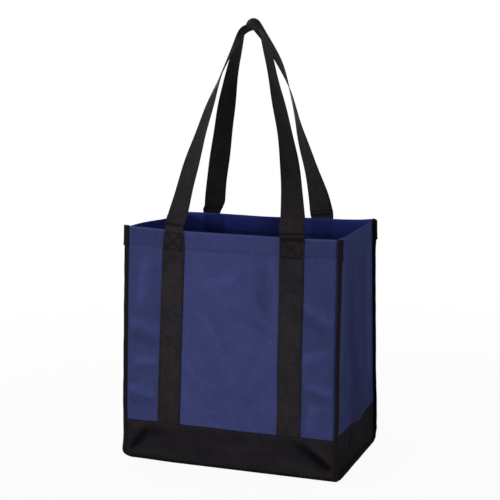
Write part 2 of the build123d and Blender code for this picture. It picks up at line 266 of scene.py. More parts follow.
class Shape:
    """The tote's surfaces, worked out from the sizes in the sidebar."""

    def __init__(self, scene):
        body, strap = scene.tote_body, scene.tote_strap
        self.half = body.width / 2
        self.height, self.base, self.rim = body.height, body.base_depth, body.rim_depth
        self.band, self.hem = body.band_height, body.height - body.hem_height
        self.rim_bow, self.cloth, self.slack = body.rim_bow, body.cloth, body.slack
        self.lean = atan((self.base - self.rim) / 2 / self.height)
        self.flap = self.half + SEAM_ALLOWANCE
        self.ply = self.cloth + PLY_GAP
        self.strap_width, self.strap_thick = strap.width, strap.thickness
        self.turn = pi / 2 + self.lean
        self.flat = self.base / 2 - FOLD_RADIUS / tan((pi / 2 - self.lean) / 2)
        self.fold_end = self.flat + FOLD_RADIUS * self.turn

    def rise(self, z):
        """Share of the way from the band to the rim."""
        return np.clip((z - self.band) / (self.height - self.band), 0, 1)

    def depth(self, z):
        """Half the depth of the leaning faces at height z."""
        return self.base / 2 - z * tan(self.lean)

    def strap_x(self, side, hand, z):
        """Middle of a strap's leg at height z: a straight line between its two given places."""
        run = STRAP_RUNS[side]
        low, high = run["low"][hand], run["high"][hand]
        return low + (high - low) * (z - LEG_LOW) / (LEG_HIGH - LEG_LOW)

    def strap_mask(self, side, x, z, inner, outer):
        """One under the straps of a face, easing to nought between two distances from their middles."""
        off = np.minimum(*(np.abs(x - self.strap_x(side, hand, z)) for hand in (0, 1)))
        return 1 - eased(inner, outer, off)

    def relief(self, side, x, z):
        """Soft relief of a face: waves, single folds and puckers, still at the seams, the floor and the straps."""
        off, drift = self.half - np.abs(x), 2 * np.sin(2 * pi * x / PUCKER_DRIFT)
        still = eased(0, STILL_SEAM, off) * eased(0, STILL_FLOOR, z)
        sewn = self.strap_mask(side, x, z, 0.5 * self.strap_width, STRAP_HALO * self.strap_width)
        held = 1 - STRAP_HOLD * sewn * eased(self.band, 0.08, z)
        soft = waves(x, z, WAVES[side]) + folds(x, z, FOLDS[side])
        for line, (height, length, reach) in ((self.hem, HEM_PUCKERS), (self.band, LAP_PUCKERS)):
            soft = soft + height * np.sin(2 * pi * x / (length * MM) + drift) * hump(z, line, reach * MM)
        height, length, reach = SEAM_PUCKERS
        seam = np.sin(2 * pi * z / (length * MM) + 2 * np.sin(2 * pi * z / SEAM_DRIFT))
        seam = height * seam * hump(off, reach * MM, reach * MM) * eased(0, 0.006, off) * eased(0, STILL_FLOOR, z)
        return self.slack * MM * (soft * still * held + seam)

    def fold_shading(self, side, x, z):
        """Height of a face's single folds in millimetres for painted light on ridges and painted shade in hollows."""
        return folds(x, z, FOLDS[side]) * eased(0, 0.004, self.half - np.abs(x))

    def face(self, side, x, z, inset):
        """Front or back cloth: a leaning plane, bowed out towards the rim, with relief and turned seam flaps."""
        x, z, inset = (np.asarray(a, float) for a in np.broadcast_arrays(x, z, inset))
        across = np.clip(1 - (x / (self.half - self.ply)) ** 2, 0, 1)
        placed, inset = self.flap_turn(side, x, SIDES[side] * self.depth(z), z, inset)
        out = self.depth(z) - inset / cos(self.lean) + self.rim_bow * self.rise(z) * across
        return np.stack([placed, SIDES[side] * (out + self.relief(side, x, z)), z], axis=-1)

    def flap_turn(self, side, x, y, z, inset):
        """Turns a seam flap about the seam by its corner's angle, easing to none at the floor, where part of it
        is tucked under. Gives x and the inset after it."""
        free = eased(0.008, 0.03, z)
        kept = FLAP_TUCK[0] + (FLAP_TUCK[1] - FLAP_TUCK[0]) * np.clip(y / self.base + 0.5, 0, 1)
        past = np.maximum(np.abs(x) - self.half, 0) * (kept + (1 - kept) * free)
        body, top = (np.where(x < 0, *turns[side]) for turns in (FLAP_TURN, FLAP_TURN_TOP))
        angle = np.radians(body + (top - body) * eased(self.height - 0.048, self.height - 0.022, z)) * free
        share = np.clip(past / (2 * MM), 0, 1)
        out = np.minimum(np.abs(x), self.half) + past * np.cos(angle) + share * inset * np.sin(angle)
        return np.sign(x) * out, inset * (1 - share + share * np.cos(angle)) - past * np.sin(angle)

    def band_bump(self, side, x, z):
        """Swelling of the band over each strap end: full at its top edge, gone a strap end lower."""
        over = self.strap_mask(side, x, z, 0.5 * self.strap_width, 0.5 * self.strap_width + 0.005)
        swell = STRAP_GAP + self.strap_thick + PLY_GAP
        return swell * over * eased(self.band - 2.2 * STRAP_TUCK, self.band - 0.5 * STRAP_TUCK, z)

    def gusset_relief(self, hand, y, v, z):
        """Relief of a gusset: a drawn-in fold beside a fuller one and single folds, still at seams and floor."""
        still = eased(0, 0.10, v) * eased(0, 0.10, 1 - v) * eased(0, 0.030, z)
        lap = 0.26 * np.sin(2 * pi * y / 0.016 + 1.0) * hump(z, self.band, 0.009)
        if hand == "right":
            reach = 0.8 + 2.4 * eased(self.band, 0.17, z) - 1.4 * self.rise(z)
            swing = np.sin(2 * pi * np.clip(v, 0, 1) ** 0.85) * reach
        else:
            swing = 2.0 * hump(v, 0.2, 0.15) - hump(v, 0.66, 0.26) * (2.0 + 5.0 * self.rise(z) ** 2)
        return self.slack * MM * still * (swing + folds(y, z, FOLDS[hand]) + lap)

    def gusset_shading(self, v, z):
        """Painted shading of a gusset: painted light beside both seams and towards the rim, painted shade along the
        fold that wanders back as it goes down.
        """
        streak = 0.35 + 0.19 * eased(0.21, 0.10, z)
        width = 0.14 + 0.08 * eased(0.13, 0.09, z)
        dark = 0.34 * hump(v, streak, width) * (0.5 + 0.5 * eased(0.30, 0.22, z))
        front = 1.5 * hump(v, 0.08, 0.16) * (0.5 + 0.5 * eased(0.10, 0.25, z))
        back = 1.4 * hump(v, 0.93, 0.12) * eased(0.08, 0.12, z)
        return np.maximum(front + back, 0.9 * eased(0.26, 0.31, z)) - dark

    def gusset(self, hand, v, z, inset, end=WEB_END):
        """Side cloth: v runs from the front seam to the back seam; the cloth stands off its plane by its relief
        and dips at the band."""
        v, z = (np.asarray(a, float) for a in np.broadcast_arrays(v, z))
        (depth, place, width), (raised, start) = BAND_DIP, BAND_RISE
        dip = depth * hump(v, place, width) - raised * eased(start, 1.0, v)
        lower = dip * MM * self.slack * eased(0, 0.08, v)
        z = z - lower * eased(0.012, self.band, z) * eased(self.band + 0.09, self.band, z)
        arc = np.sqrt(np.clip((FOLD_RADIUS - end) ** 2 - np.maximum(FOLD_RADIUS - z, 0) ** 2, 0, None))
        reach = np.where(z < FOLD_RADIUS, self.flat + arc, self.depth(z) - end / cos(self.lean))
        y = (2 * v - 1) * reach
        out = self.half - inset + self.gusset_relief(hand, y, v, z)
        return np.stack(np.broadcast_arrays(HANDS[hand] * out, y, z), axis=-1)

    def channel(self, s):
        """Side line of front, base and back: distance s from the middle of the base gives y, z and the inward
        normal. The line is level, turns up along an arc at each fold and then follows the leaning face."""
        away = np.abs(s)
        arc = np.clip((away - self.flat) / FOLD_RADIUS, 0, self.turn)
        run = np.maximum(away - self.fold_end, 0)
        side = np.where(s < 0, -1.0, 1.0)
        y = np.minimum(away, self.flat) + FOLD_RADIUS * np.sin(arc) + run * cos(self.turn)
        z = FOLD_RADIUS * (1 - np.cos(arc)) + run * sin(self.turn)
        return side * y, z, -side * np.sin(arc), np.cos(arc)

    def channel_at(self, z):
        """Distance along the side line at which it reaches height z."""
        return self.fold_end + (z - FOLD_RADIUS * (1 - cos(self.turn))) / sin(self.turn)

    def around(self, s, x, inset):
        """Point of a layer that follows front, base and back, with its seam flaps turned."""
        s, x, inset = (np.asarray(a, float) for a in np.broadcast_arrays(s, x, inset))
        y, z, normal_y, normal_z = self.channel(s)
        turned = [self.flap_turn(side, x, y, z, inset) for side in SIDES]
        x, inset = (np.where(s < 0, front, back) for front, back in zip(*turned))
        return np.stack([x, y + normal_y * inset, z + normal_z * inset], axis=-1)

    def settle(self, points):
        """Lets the sewn body sag: corner seams wander by bell curves over their height, the bottom corners round
        off and the top corners are drawn up. Weights are linear between corners."""
        x, y, z = points[..., 0], points[..., 1], points[..., 2]
        shift_x, shift_y, lift = (np.zeros_like(x) for _ in range(3))
        deep = self.base / 2
        for side_x, side_y, height, length, move_x, move_y in CORNER_SHIFTS:
            share = nearness(side_x * x, self.half, 1.1) * nearness(side_y * y, deep, 1.1)
            share = MM * share * hump(z, height * MM, length * MM) * eased(0, 0.03, z)
            shift_x, shift_y = shift_x + move_x * share, shift_y + move_y * share
        for side_x, side_y, radius, raised in CORNER_ROUNDS:
            out_x, out_y, radius = side_x * x, side_y * y, radius * MM
            near = eased(self.half - 3 * radius, self.half, out_x)
            near = near * eased(deep - 3 * radius, deep - 0.003, out_y)
            lack = np.clip(radius - z, 0, radius)
            shift_x = shift_x - side_x * near * (radius - np.sqrt(radius**2 - lack**2))
            edge = eased(self.half - 0.075, self.half, out_x) * eased(deep - 0.010, deep - 0.001, out_y)
            lift = lift + raised * MM * edge * eased(0.05, 0, z)
        for side_x, side_y, height, power in CORNER_LIFTS:
            near = nearness(side_x * x, self.half) * nearness(side_y * y, self.rim / 2)
            lift = lift + height * MM * near**power * eased(self.band, self.height, z)
        return np.stack([x + self.slack * shift_x, y + self.slack * shift_y, z + self.slack * lift], axis=-1)

    def rim_drop(self, name, u):
        """How far a rim dips below its even height along u from nought to one: one dip and a short wave."""
        depth, place, width, ripple = RIM_DIPS[name]
        still = np.sin(pi * np.clip(u, 0, 1)) ** 0.7
        return MM * still * (depth * hump(u, place, width) + ripple * np.sin(9 * u + depth * 5))

    def loop_side(self, side, hand, share):
        """One side of a strap's free loop: an arc in the leaning plane of the loop from the rim to the crown, with
        two sways, the cloth turning from the panel's way to edge on as a power of the share. Gives points and
        outer normals as for the front."""
        run, sign = STRAP_RUNS[side], (-1, 1)[hand]
        foot, radius, first = abs(run["foot"][hand]), run["crown"], radians(run["angle"][hand])
        top_x, top_y, top_z = run["top"]
        foot_y = -(self.depth(self.height) + self.rim_bow * (1 - (foot / self.half) ** 2) + LOOP_GAP)
        rise, lean = hypot(top_y - foot_y, top_z - self.height), atan2(top_y - foot_y, top_z - self.height)
        right, up, out = np.array([[1, 0, 0], [0, sin(lean), cos(lean)], [0, -cos(lean), sin(lean)]])
        half, crown = foot - top_x * sign, rise - radius
        last = 2 * atan2(half - radius * cos(first), crown + radius * sin(first)) - first
        bend = (crown + radius * sin(last)) / (sin(last) - sin(first))
        below, above = np.clip(share, 0, 1), np.clip(share - 1, 0, 1)
        angle, over = first + below * (last - first), above * (pi / 2 - last)
        low, high = radians(run["twist"][hand]), radians(run["turned"][hand])
        twist = low + below ** run["power"][hand] * (high - low)
        twist = twist + above * (radians(sum(run["turned"])) / 2 - high)
        slow, quick = run["sway"][hand]
        sway = slow * np.sin(2 * pi * share) + quick * np.sin(3 * pi * share)
        swayed = half - bend * (cos(first) - np.cos(angle)) + sway
        x = np.where(share <= 1, swayed, radius * np.cos(last + over))
        h = np.where(share <= 1, bend * (np.sin(angle) - sin(first)), crown + radius * np.sin(last + over))
        outward = np.cos(angle + over)[:, None] * right + np.sin(angle + over)[:, None] * up
        points = np.array([0, foot_y, self.height]) + x[:, None] * right + h[:, None] * up
        normals = np.cos(twist)[:, None] * out + np.sin(twist)[:, None] * outward
        mirror = np.array([sign, 1, 1])
        return points * mirror + np.array([top_x, 0, 0]), normals * mirror

    def leg_side(self, side, hand):
        """One sewn leg on its panel, with outer normals from the panel's slopes, both as for the front."""
        z = np.linspace(self.band - STRAP_TUCK, self.height, 160)
        x, step = self.strap_x(side, hand, z), 0.4 * self.strap_width
        seat = self.ply - STRAP_GAP - self.strap_thick / 2
        moves, mirror = ((0, 0), (-step, 0), (step, 0), (0, -step), (0, step)), np.array([1, -SIDES[side], 1])
        leg, left, right, lower, higher = (self.face(side, x + over, z + up, seat) * mirror for over, up in moves)
        slope_x, slope_z = ((b[:, 1] - a[:, 1]) / (2 * step) for a, b in ((left, right), (lower, higher)))
        return leg, unit(np.stack([slope_x, -np.ones_like(z), slope_z], axis=-1))

    def strap_side(self, side, hand):
        """One leg and its side of the loop, eased into each other above the rim."""
        leg, normal = self.leg_side(side, hand)
        share = np.concatenate([np.linspace(0.004, 1, 240), np.linspace(1.02, 2, 40)])
        loop, turned = self.loop_side(side, hand, share)
        loop = loop + hump(share, 0, 0.10)[:, None] * (leg[-1] - loop[0] + np.array([0, 0, MM]))
        flush = hump(share, 0, STRAP_RUNS[side]["flush"][hand])[:, None]
        turned = unit(turned * (1 - flush) + normal[-1] * flush)
        return np.concatenate([leg, loop]), np.concatenate([normal, turned])

    def strap_line(self, side):
        """Whole line of a strap: up the left leg, round its loop and down the right leg, with closer points at
        the rim. Gives points, the direction across, outer normals, and the distances along and past the rim."""
        (left, left_up), (right, right_up) = (self.strap_side(side, hand) for hand in (0, 1))
        line, facing = (np.concatenate([a, b[-2::-1]]) for a, b in ((left, right), (left_up, right_up)))
        along = run_length(*line.T)
        fine = np.linspace(0, along[-1], int(along[-1] / MM))
        line, facing = (smoothed(table) for table in sampled(fine, along, line, facing))
        climb = np.flatnonzero(np.diff(np.sign(line[:, 2] - self.height)))
        rims = fine[climb[0]], fine[climb[-1]]
        tangent = unit(np.gradient(line, axis=0))
        facing = unit(facing - (facing * tangent).sum(1, keepdims=True) * tangent)
        for rim, sign, places in zip(rims, (1, -1), STRAP_RUNS[side]["puckers"]):
            past = (fine - rim) * sign
            for place in places:
                ridges = sum(share * hump(past, (place + off) * MM, width * MM)
                             for off, width, share in CREASE_RIDGES)
                line = line + CREASE_HEIGHT * ridges[:, None] * facing
        gap = np.minimum(*(np.abs(fine - rim) for rim in rims))
        count, index = np.cumsum(1 / np.where(gap < RIM_ZONE, 1.0, LOOP_STEP)), np.arange(len(fine))
        rows = np.interp(np.linspace(count[0], count[-1], ceil(count[-1])), count, index)
        mirror = np.array([1, -SIDES[side], 1])
        points, tangent, facing = (table * mirror for table in sampled(rows, index, line, tangent, facing))
        points = np.where(points[:, 2:3] < self.height + 0.02, self.settle(points), points)
        across, along = unit(np.cross(tangent, facing)), np.interp(rows, index, fine)
        past = np.minimum(along - rims[0], rims[1] - along)
        return points, across, unit(np.cross(across, tangent)), along, past

    def drawn_in(self, side, hand, w, past):
        """Place across a strap, drawn in at the rim by a bell curve about its middle or towards one edge."""
        share, length, lean = STRAP_RUNS[side]["pinch"][hand]
        drawn = self.slack * share * hump(past, 0, length)
        return w + drawn * (lean * self.strap_width / 2 - w)

    def drawn_along(self, side, w, along, past):
        """Place across a whole strap: drawn in as its left side up to the middle, then as its right side."""
        return np.where(along < along[-1] / 2, *(self.drawn_in(side, hand, w, past) for hand in (0, 1)))


def linked_piece(name, mesh):
    """A smooth-shaded piece of a mesh, put in the scene."""
    mesh.polygons.foreach_set("use_smooth", np.ones(len(mesh.polygons), bool))
    mesh.update()
    piece = bpy.data.objects.new(name, mesh)
    bpy.context.scene.collection.objects.link(piece)
    return piece


def grid_piece(name, grids, thick=0.0, closed=False):
    """One mesh from several grids: each is its points, its flat coordinates in metres, its wear and painted shade and
    whether its faces turn over. A thickness grows inwards from the faces as drawn; a closed piece has its doubles
    merged."""
    points, faces, flats, wear_and_shade_values, start = [], [], [], [], 0
    for grid, flat, wear_and_shade, turned in grids:
        rows, columns = grid.shape[:2]
        index = start + np.arange(rows * columns).reshape(rows, columns)
        corners = [index[:-1, :-1], index[:-1, 1:], index[1:, 1:], index[1:, :-1]]
        faces.append(np.stack([c.ravel() for c in (corners[::-1] if turned else corners)], axis=1))
        points.append(grid.reshape(-1, 3))
        flats.append(np.broadcast_to(flat, (rows, columns, 2)).reshape(-1, 2))
        wear_and_shade_values.append(np.broadcast_to(wear_and_shade, (rows, columns)).ravel())
        start += rows * columns
    points, faces, flats, wear_and_shade_values = (np.concatenate(parts) for parts in (points, faces, flats, wear_and_shade_values))
    mesh = bpy.data.meshes.new(name)
    mesh.from_pydata(points.tolist(), [], faces.tolist())
    layer = mesh.uv_layers.new(name=FLAT_MAP)
    layer.uv.foreach_set("vector", flats[faces.ravel()].astype(np.float32).ravel())
    mesh.attributes.new(WEAR_AND_SHADE_MAP, "FLOAT", "POINT").data.foreach_set("value", wear_and_shade_values.astype(np.float32))
    if closed:
        work = bmesh.new()
        work.from_mesh(mesh)
        bmesh.ops.remove_doubles(work, verts=work.verts, dist=0.002 * MM)
        bmesh.ops.dissolve_degenerate(work, edges=work.edges, dist=0.001 * MM)
        bmesh.ops.recalc_face_normals(work, faces=work.faces)
        work.to_mesh(mesh)
        work.free()
    piece = linked_piece(name, mesh)
    if thick:
        wall = piece.modifiers.new("Cloth thickness", "SOLIDIFY")
        wall.thickness, wall.offset, wall.use_even_offset = thick, -1, False
    return piece


def finish_piece(piece, finish, body=None, nodes=()):
    """Gives a piece its finish and its body, and hides the solids that it stands for."""
    piece.data.materials.append(finish_named(finish))
    if body:
        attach(piece, body)
    if nodes:
        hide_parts(*nodes)
    return piece


class Value:
    """A socket with arithmetic: an expression on values adds its Math nodes."""

    def __init__(self, nodes, socket):
        self.nodes, self.socket = nodes, socket

    def math(self, operation, *others):
        """One Math node on this value and the others, in that order."""
        return self.nodes.node("ShaderNodeMath", {"operation": operation}, dict(enumerate((self, *others))))

    def __add__(self, other):
        return self.math("ADD", other)

    def __sub__(self, other):
        return self.math("SUBTRACT", other)

    def __rsub__(self, other):
        return self.nodes.node("ShaderNodeMath", {"operation": "SUBTRACT"}, {0: other, 1: self})

    def __mul__(self, other):
        return self.math("MULTIPLY", other)

    __radd__, __rmul__ = __add__, __mul__

    def eased(self, low, high):
        """This value's smooth step between two numbers."""
        return self.nodes.node("ShaderNodeMapRange", {"interpolation_type": "SMOOTHSTEP"},
                               {"Value": self, "From Min": low, "From Max": high}, "Result")


class Nodes:
    """A tree of nodes, filled by expressions on values."""

    def __init__(self, tree):
        self.tree = tree

    def node(self, kind, settings=None, inputs=None, output=0):
        """Adds a node by its type, its settings and its sockets' values or links. Gives one of its outputs."""
        made = self.tree.nodes.new(kind)
        for key, value in (settings or {}).items():
            setattr(made, key, value)
        for key, value in (inputs or {}).items():
            if isinstance(value, Value):
                self.tree.links.new(value.socket, made.inputs[key])
            else:
                made.inputs[key].default_value = value
        return Value(self, made.outputs[output])

    def vector(self, operation, *inputs, output=0):
        """One Vector Math node on the inputs, in that order."""
        return self.node("ShaderNodeVectorMath", {"operation": operation}, dict(enumerate(inputs)), output)

    def scaled(self, vector, scale, turn=0.0):
        """A vector scaled and turned about the third axis."""
        inputs = {"Vector": vector, "Rotation": (0, 0, turn), "Scale": scale}
        return self.node("ShaderNodeMapping", {}, inputs)

    def place(self):
        """The piece's own coordinates."""
        return self.node("ShaderNodeTexCoord", output="Object")

    def seen_white(self, plain, glow, share=1.0):
        """Links a surface that mixes plain with glow by a share, for rays that show it: from the camera, off gloss or
        through clear matter."""
        camera, glossy, clear = (self.node("ShaderNodeLightPath", output=f"Is {kind} Ray")
                                 for kind in ("Camera", "Glossy", "Transmission"))
        share = (camera + glossy + clear).math("MINIMUM", 1.0) * share
        mixed = self.node("ShaderNodeMixShader", {}, {0: share, 1: plain, 2: glow})
        output = next(node for node in self.tree.nodes if node.bl_idname.startswith("ShaderNodeOutput"))
        self.tree.links.new(mixed.socket, output.inputs["Surface"])


class Finish(Nodes):
    """A material made of nodes, with one shader whose constants are set on its own sockets."""

    def __init__(self, name, **constants):
        self.material = bpy.data.materials.new(name)
        self.material.use_nodes = True
        super().__init__(self.material.node_tree)
        self.shader = self.tree.nodes["Principled BSDF"]
        for socket, value in constants.items():
            self.shader.inputs[socket.replace("_", " ")].default_value = value

    def flat(self, scale=(1, 1, 1), turn=0.0):
        """The piece's flat coordinates, scaled and turned in the cloth's plane."""
        return self.scaled(self.node("ShaderNodeUVMap", {"uv_map": FLAT_MAP}), scale, turn)

    def wear_and_shade(self):
        """The piece's wear and painted shading."""
        return self.node("ShaderNodeAttribute", {"attribute_name": WEAR_AND_SHADE_MAP}, output="Fac")

    def noise(self, scale, detail=2.0, roughness=0.5, vector=None):
        """Soft noise from about nought to one, on the flat coordinates unless a vector is given."""
        inputs = {"Vector": vector or self.flat(), "Scale": scale, "Detail": detail, "Roughness": roughness}
        return self.node("ShaderNodeTexNoise", {}, inputs, "Fac")

    def mix(self, share, low, high, blend="MIX"):
        """Colour that goes from low to high with the share."""
        settings = {"data_type": "RGBA", "blend_type": blend}
        return self.node("ShaderNodeMix", settings, {0: share, 6: low, 7: high}, 2)

    def bump(self, height, distance, strength, below=None):
        """Normal of a height in metres over a distance, on top of another normal."""
        inputs = {"Height": height, "Distance": distance, "Strength": strength}
        if below:
            inputs["Normal"] = below
        return self.node("ShaderNodeBump", {}, inputs, "Normal")

    def link(self, **sockets):
        """Links values to the shader's sockets and gives the material."""
        for socket, value in sockets.items():
            self.tree.links.new(value.socket, self.shader.inputs[socket.replace("_", " ")])
        return self.material


def shade(colour, factor):
    """A colour times a number, as a shader's colour."""
    return (*[min(1.0, c * factor) for c in colour[:3]], 1.0)


def nonwoven(name, colour, pitch, mottle, gloss, sheen, reverse=None):
    """Point-bonded cloth: a lattice of small pressed points, short fibres between them and cloudy fibre density,
    lighter where rubbed and where light is painted, darker where pressed and where shade is painted. Its reverse,
    which faces the upright through the middle of the bag, may be deeper in colour, as painted shade inside the bag."""
    finish = Finish(name, Specular_IOR_Level=gloss, Sheen_Weight=sheen, Sheen_Roughness=0.5,
                    Sheen_Tint=(0.85, 0.88, 1.0, 1.0))
    cell = finish.vector("FRACTION", finish.flat((1 / pitch, 1 / pitch, 1), pi / 4))
    centred = finish.vector("SUBTRACT", cell, (0.5, 0.5, 0.0))
    points = 1 - finish.vector("LENGTH", centred, output="Value").eased(0.20, 0.36)
    fibres = [finish.noise(1.0, 3.0, vector=finish.flat(scale, turn))
              for scale, turn in (((2600, 260, 1), 0.6), ((260, 2600, 1), 0.25))]
    strands = fibres[0] + fibres[1]
    clouds, broad, tufts = finish.noise(34.0, 4.0, 0.6), finish.noise(9.0), finish.noise(150.0, 3.0, 0.6)
    wear_and_shade = finish.wear_and_shade()
    # Lighter above nought: rubbed wear and painted light; darker below nought: pressed stitches and painted shade
    lightened = (wear_and_shade * (finish.noise(420.0, 3.0) * 0.9 + 0.25)).eased(0.2, 1.0)
    darkened = (0.0 - wear_and_shade).math("MAXIMUM", 0.0)
    density = clouds.eased(0.28, 0.72) * 0.4 + broad.eased(0.3, 0.7) * 0.25 + tufts.eased(0.3, 0.7) * 0.35
    tone = finish.mix(density, shade(colour, 1 - mottle), shade(colour, 1 + mottle))
    for share, factor in ((points * 0.30, 0.62), ((strands * 0.5).eased(0.42, 0.72) * 0.22, 1.5),
                          (lightened * 0.35, 1.9), (darkened, 0.25)):
        tone = finish.mix(share, tone, shade(colour, factor))
    # Deeper reverse colour: painted shade for the inside of the bag
    if reverse:
        facing = finish.node("ShaderNodeNewGeometry", output="Normal")
        place = finish.scaled(finish.place(), (1, 1, 0))
        outward = finish.vector("DOT_PRODUCT", facing, place, output="Value")
        deeper = (*[b / a for a, b in zip(colour, reverse)], 1.0)
        tone = finish.mix(1 - outward.eased(-0.02, 0.02), tone, deeper, "MULTIPLY")
    rough = 0.72 - points * 0.16 + lightened * 0.10 + (density - 0.5) * 0.08
    weave = finish.bump(strands * 0.3 - points, 0.12 * MM, 0.55)
    return finish.link(Base_Color=tone, Roughness=rough, Normal=finish.bump(clouds, 0.5 * MM, 0.25, weave))


def binding_tape(name, colour):
    """Narrow knitted tape: fine ribs along it, close cross threads, lighter along its fold."""
    finish = Finish(name, Specular_IOR_Level=0.03, Sheen_Weight=0.01, Sheen_Roughness=0.5)
    axes = (finish.node("ShaderNodeSeparateXYZ", {}, {0: finish.flat()}, axis) for axis in (0, 1))
    ribs, picks = ((place * (2 * pi / pitch)).math("SINE") * 0.5 + 0.5
                   for place, pitch in zip(axes, (0.55 * MM, 0.42 * MM)))
    fuzz = finish.noise(900.0, 3.0)
    tone = finish.mix(ribs * 0.35 + fuzz * 0.3, shade(colour, 0.7), shade(colour, 1.45))
    tone = finish.mix((finish.wear_and_shade() * fuzz * 1.5).eased(0.2, 1.0) * 0.3, tone, shade(colour, 2.4))
    knit = finish.bump(ribs * 0.7 + picks * 0.5, 0.10 * MM, 0.6)
    return finish.link(Base_Color=tone, Roughness=0.74 - ribs * 0.12 + fuzz * 0.08, Normal=knit)


def sewing_thread(name, colour):
    """Twisted thread: slanting plies across each stitch."""
    finish = Finish(name, Specular_IOR_Level=0.10, Sheen_Weight=0.05)
    ply = finish.node("ShaderNodeTexWave", {"wave_type": "BANDS", "bands_direction": "DIAGONAL"},
                      {"Vector": finish.flat(), "Scale": 1400.0, "Distortion": 0.6}, "Fac")
    tone = finish.mix(ply, shade(colour, 0.65), shade(colour, 1.35))
    return finish.link(Base_Color=tone, Roughness=0.6 - ply * 0.12, Normal=finish.bump(ply, 0.05 * MM, 0.5))


def pressed_board(name, colour):
    """Stiff plastic sheet: fine pebble grain, faint flow marks and scuffs."""
    finish = Finish(name, Specular_IOR_Level=0.2)
    place = finish.place()
    pebble = finish.node("ShaderNodeTexVoronoi", {"feature": "SMOOTH_F1"},
                         {"Vector": place, "Scale": 850.0}, "Distance")
    flow = finish.noise(1.0, 3.0, vector=finish.scaled(place, (6, 60, 6)))
    scuffs = finish.noise(1.0, 4.0, vector=finish.scaled(place, (300, 22, 22))).eased(0.60, 0.74)
    tone = finish.mix(flow, shade(colour, 0.8), shade(colour, 1.25))
    tone = finish.mix(scuffs * 0.35, tone, shade(colour, 2.6))
    rough = 0.46 + flow * 0.1 + scuffs * 0.2
    return finish.link(Base_Color=tone, Roughness=rough, Normal=finish.bump(pebble, 0.15 * MM, 0.35))


def finish_named(name):
    """One of the tote's finishes, made from the sidebar's colours the first time it is asked for.
    A cloth gives its colour, point pitch, mottle, gloss, sheen and the colour of its reverse, deeper as painted
    shade."""
    if name in bpy.data.materials:
        return bpy.data.materials[name]
    looks = bpy.context.scene.tote_finish
    maker, *settings = {
        "Navy cloth": (nonwoven, looks.navy, looks.point_pitch, 0.18, 0.002, 0.004, looks.reverse),
        "Black cloth": (nonwoven, looks.black_cloth, looks.point_pitch, 0.35, 0.004, 0.004),
        "Black strap": (nonwoven, looks.strap, looks.point_pitch, 0.5, 0.02, 0.008),
        "Black tape": (binding_tape, looks.tape),
        "Black thread": (sewing_thread, looks.thread),
        "Navy thread": (sewing_thread, looks.navy_thread),
        "Base board": (pressed_board, looks.board),
    }[name]
    return maker(name, *settings)


def length_field(name, description, default, low=0.0):
    """A length for the sidebar, in metres."""
    return FloatProperty(name=name, description=description, default=default, min=low, precision=5,
                         unit="LENGTH")


def angle_field(name, description, degrees):
    """An angle for the sidebar."""
    return FloatProperty(name=name, description=description, default=radians(degrees), subtype="ANGLE",
                         unit="ROTATION")


def colour_field(name, description, default):
    """A colour for the sidebar, in linear light."""
    return FloatVectorProperty(name=name, description=description, default=default, subtype="COLOR", size=3,
                               min=0, max=1)


class ToteBody(bpy.types.PropertyGroup):
    """Sizes of the sewn body."""

    width: length_field("Width", "Between the two side seams", 0.306, 0.1)
    height: length_field("Height", "Floor to rim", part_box("front_panel")[1].z, 0.1)
    base_depth: length_field("Base depth", "Front to back at the floor", 0.210, 0.05)
    rim_depth: length_field("Rim depth", "Front to back at the corners of the rim", 0.172, 0.05)
    band_height: length_field("Band height", "Contrast band above the floor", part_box("base_wrap")[1].z, 0.02)
    hem_height: length_field("Hem height", "Doubled cloth below the rim", 0.026, 0.005)
    rim_bow: length_field("Rim bow", "How far the middle of each rim bows out", 0.012)
    cloth: length_field("Cloth thickness", "Thickness of the non-woven cloth", 0.0005, 0.0001)
    slack: FloatProperty(name="Slack", description="Strength of the folds and puckers", default=1.0,
                         min=0.0, max=1.3, subtype="FACTOR")


class ToteStrap(bpy.types.PropertyGroup):
    """Sizes of the straps and the stitching."""

    width: length_field("Strap width", "Width of each strap", 0.034, 0.01)
    thickness: length_field("Strap thickness", "Folded thickness of each strap", 0.0012, 0.0005)
    pitch: length_field("Stitch pitch", "From one stitch to the next", 0.0034, 0.002)
    stitch: length_field("Stitch length", "Length of one stitch", 0.0025, 0.001)
    thread: length_field("Thread thickness", "Thickness of the thread", 0.00042, 0.0001)


class ToteFinish(bpy.types.PropertyGroup):
    """Colours and texture of the cloths."""

    navy: colour_field("Navy cloth", "Upper cloth", (0.0318, 0.0388, 0.113))
    # The reverse is deeper than the navy: painted shade for the inside of the bag
    reverse: colour_field("Navy reverse", "Inner face of the upper cloth", (0.0185, 0.0260, 0.140))
    black_cloth: colour_field("Black cloth", "Band and base", (0.0106, 0.0092, 0.0111))
    strap: colour_field("Strap", "Straps", (0.0150, 0.0127, 0.0147))
    tape: colour_field("Tape", "Seam binding", (0.0062, 0.0043, 0.0054))
    thread: colour_field("Black thread", "Thread on the black pieces", (0.010, 0.0095, 0.010))
    navy_thread: colour_field("Navy thread", "Thread on the navy cloth", (0.016, 0.020, 0.080))
    board: colour_field("Base board", "Stiff base sheet", (0.018, 0.018, 0.020))
    point_pitch: length_field("Point pitch", "Spacing of the cloth's pressed points", 0.0015, 0.0005)


class ToteStage(bpy.types.PropertyGroup):
    """Camera and light."""

    camera: FloatVectorProperty(name="Camera", description="Place of the camera", size=3,
                                default=(0.67944, -1.83966, 0.63237), subtype="TRANSLATION", unit="LENGTH")
    bearing: angle_field("Bearing", "Turn of the camera from straight ahead", 20.39)
    dip: angle_field("Dip", "How far the camera looks down", 9.80)
    lens: FloatProperty(name="Lens", description="Focal length on a 36 mm sensor, in mm", default=100.8,
                        min=10, unit="CAMERA")
    sky: FloatProperty(name="Sky", description="Strength of the even light", default=0.60, min=0)


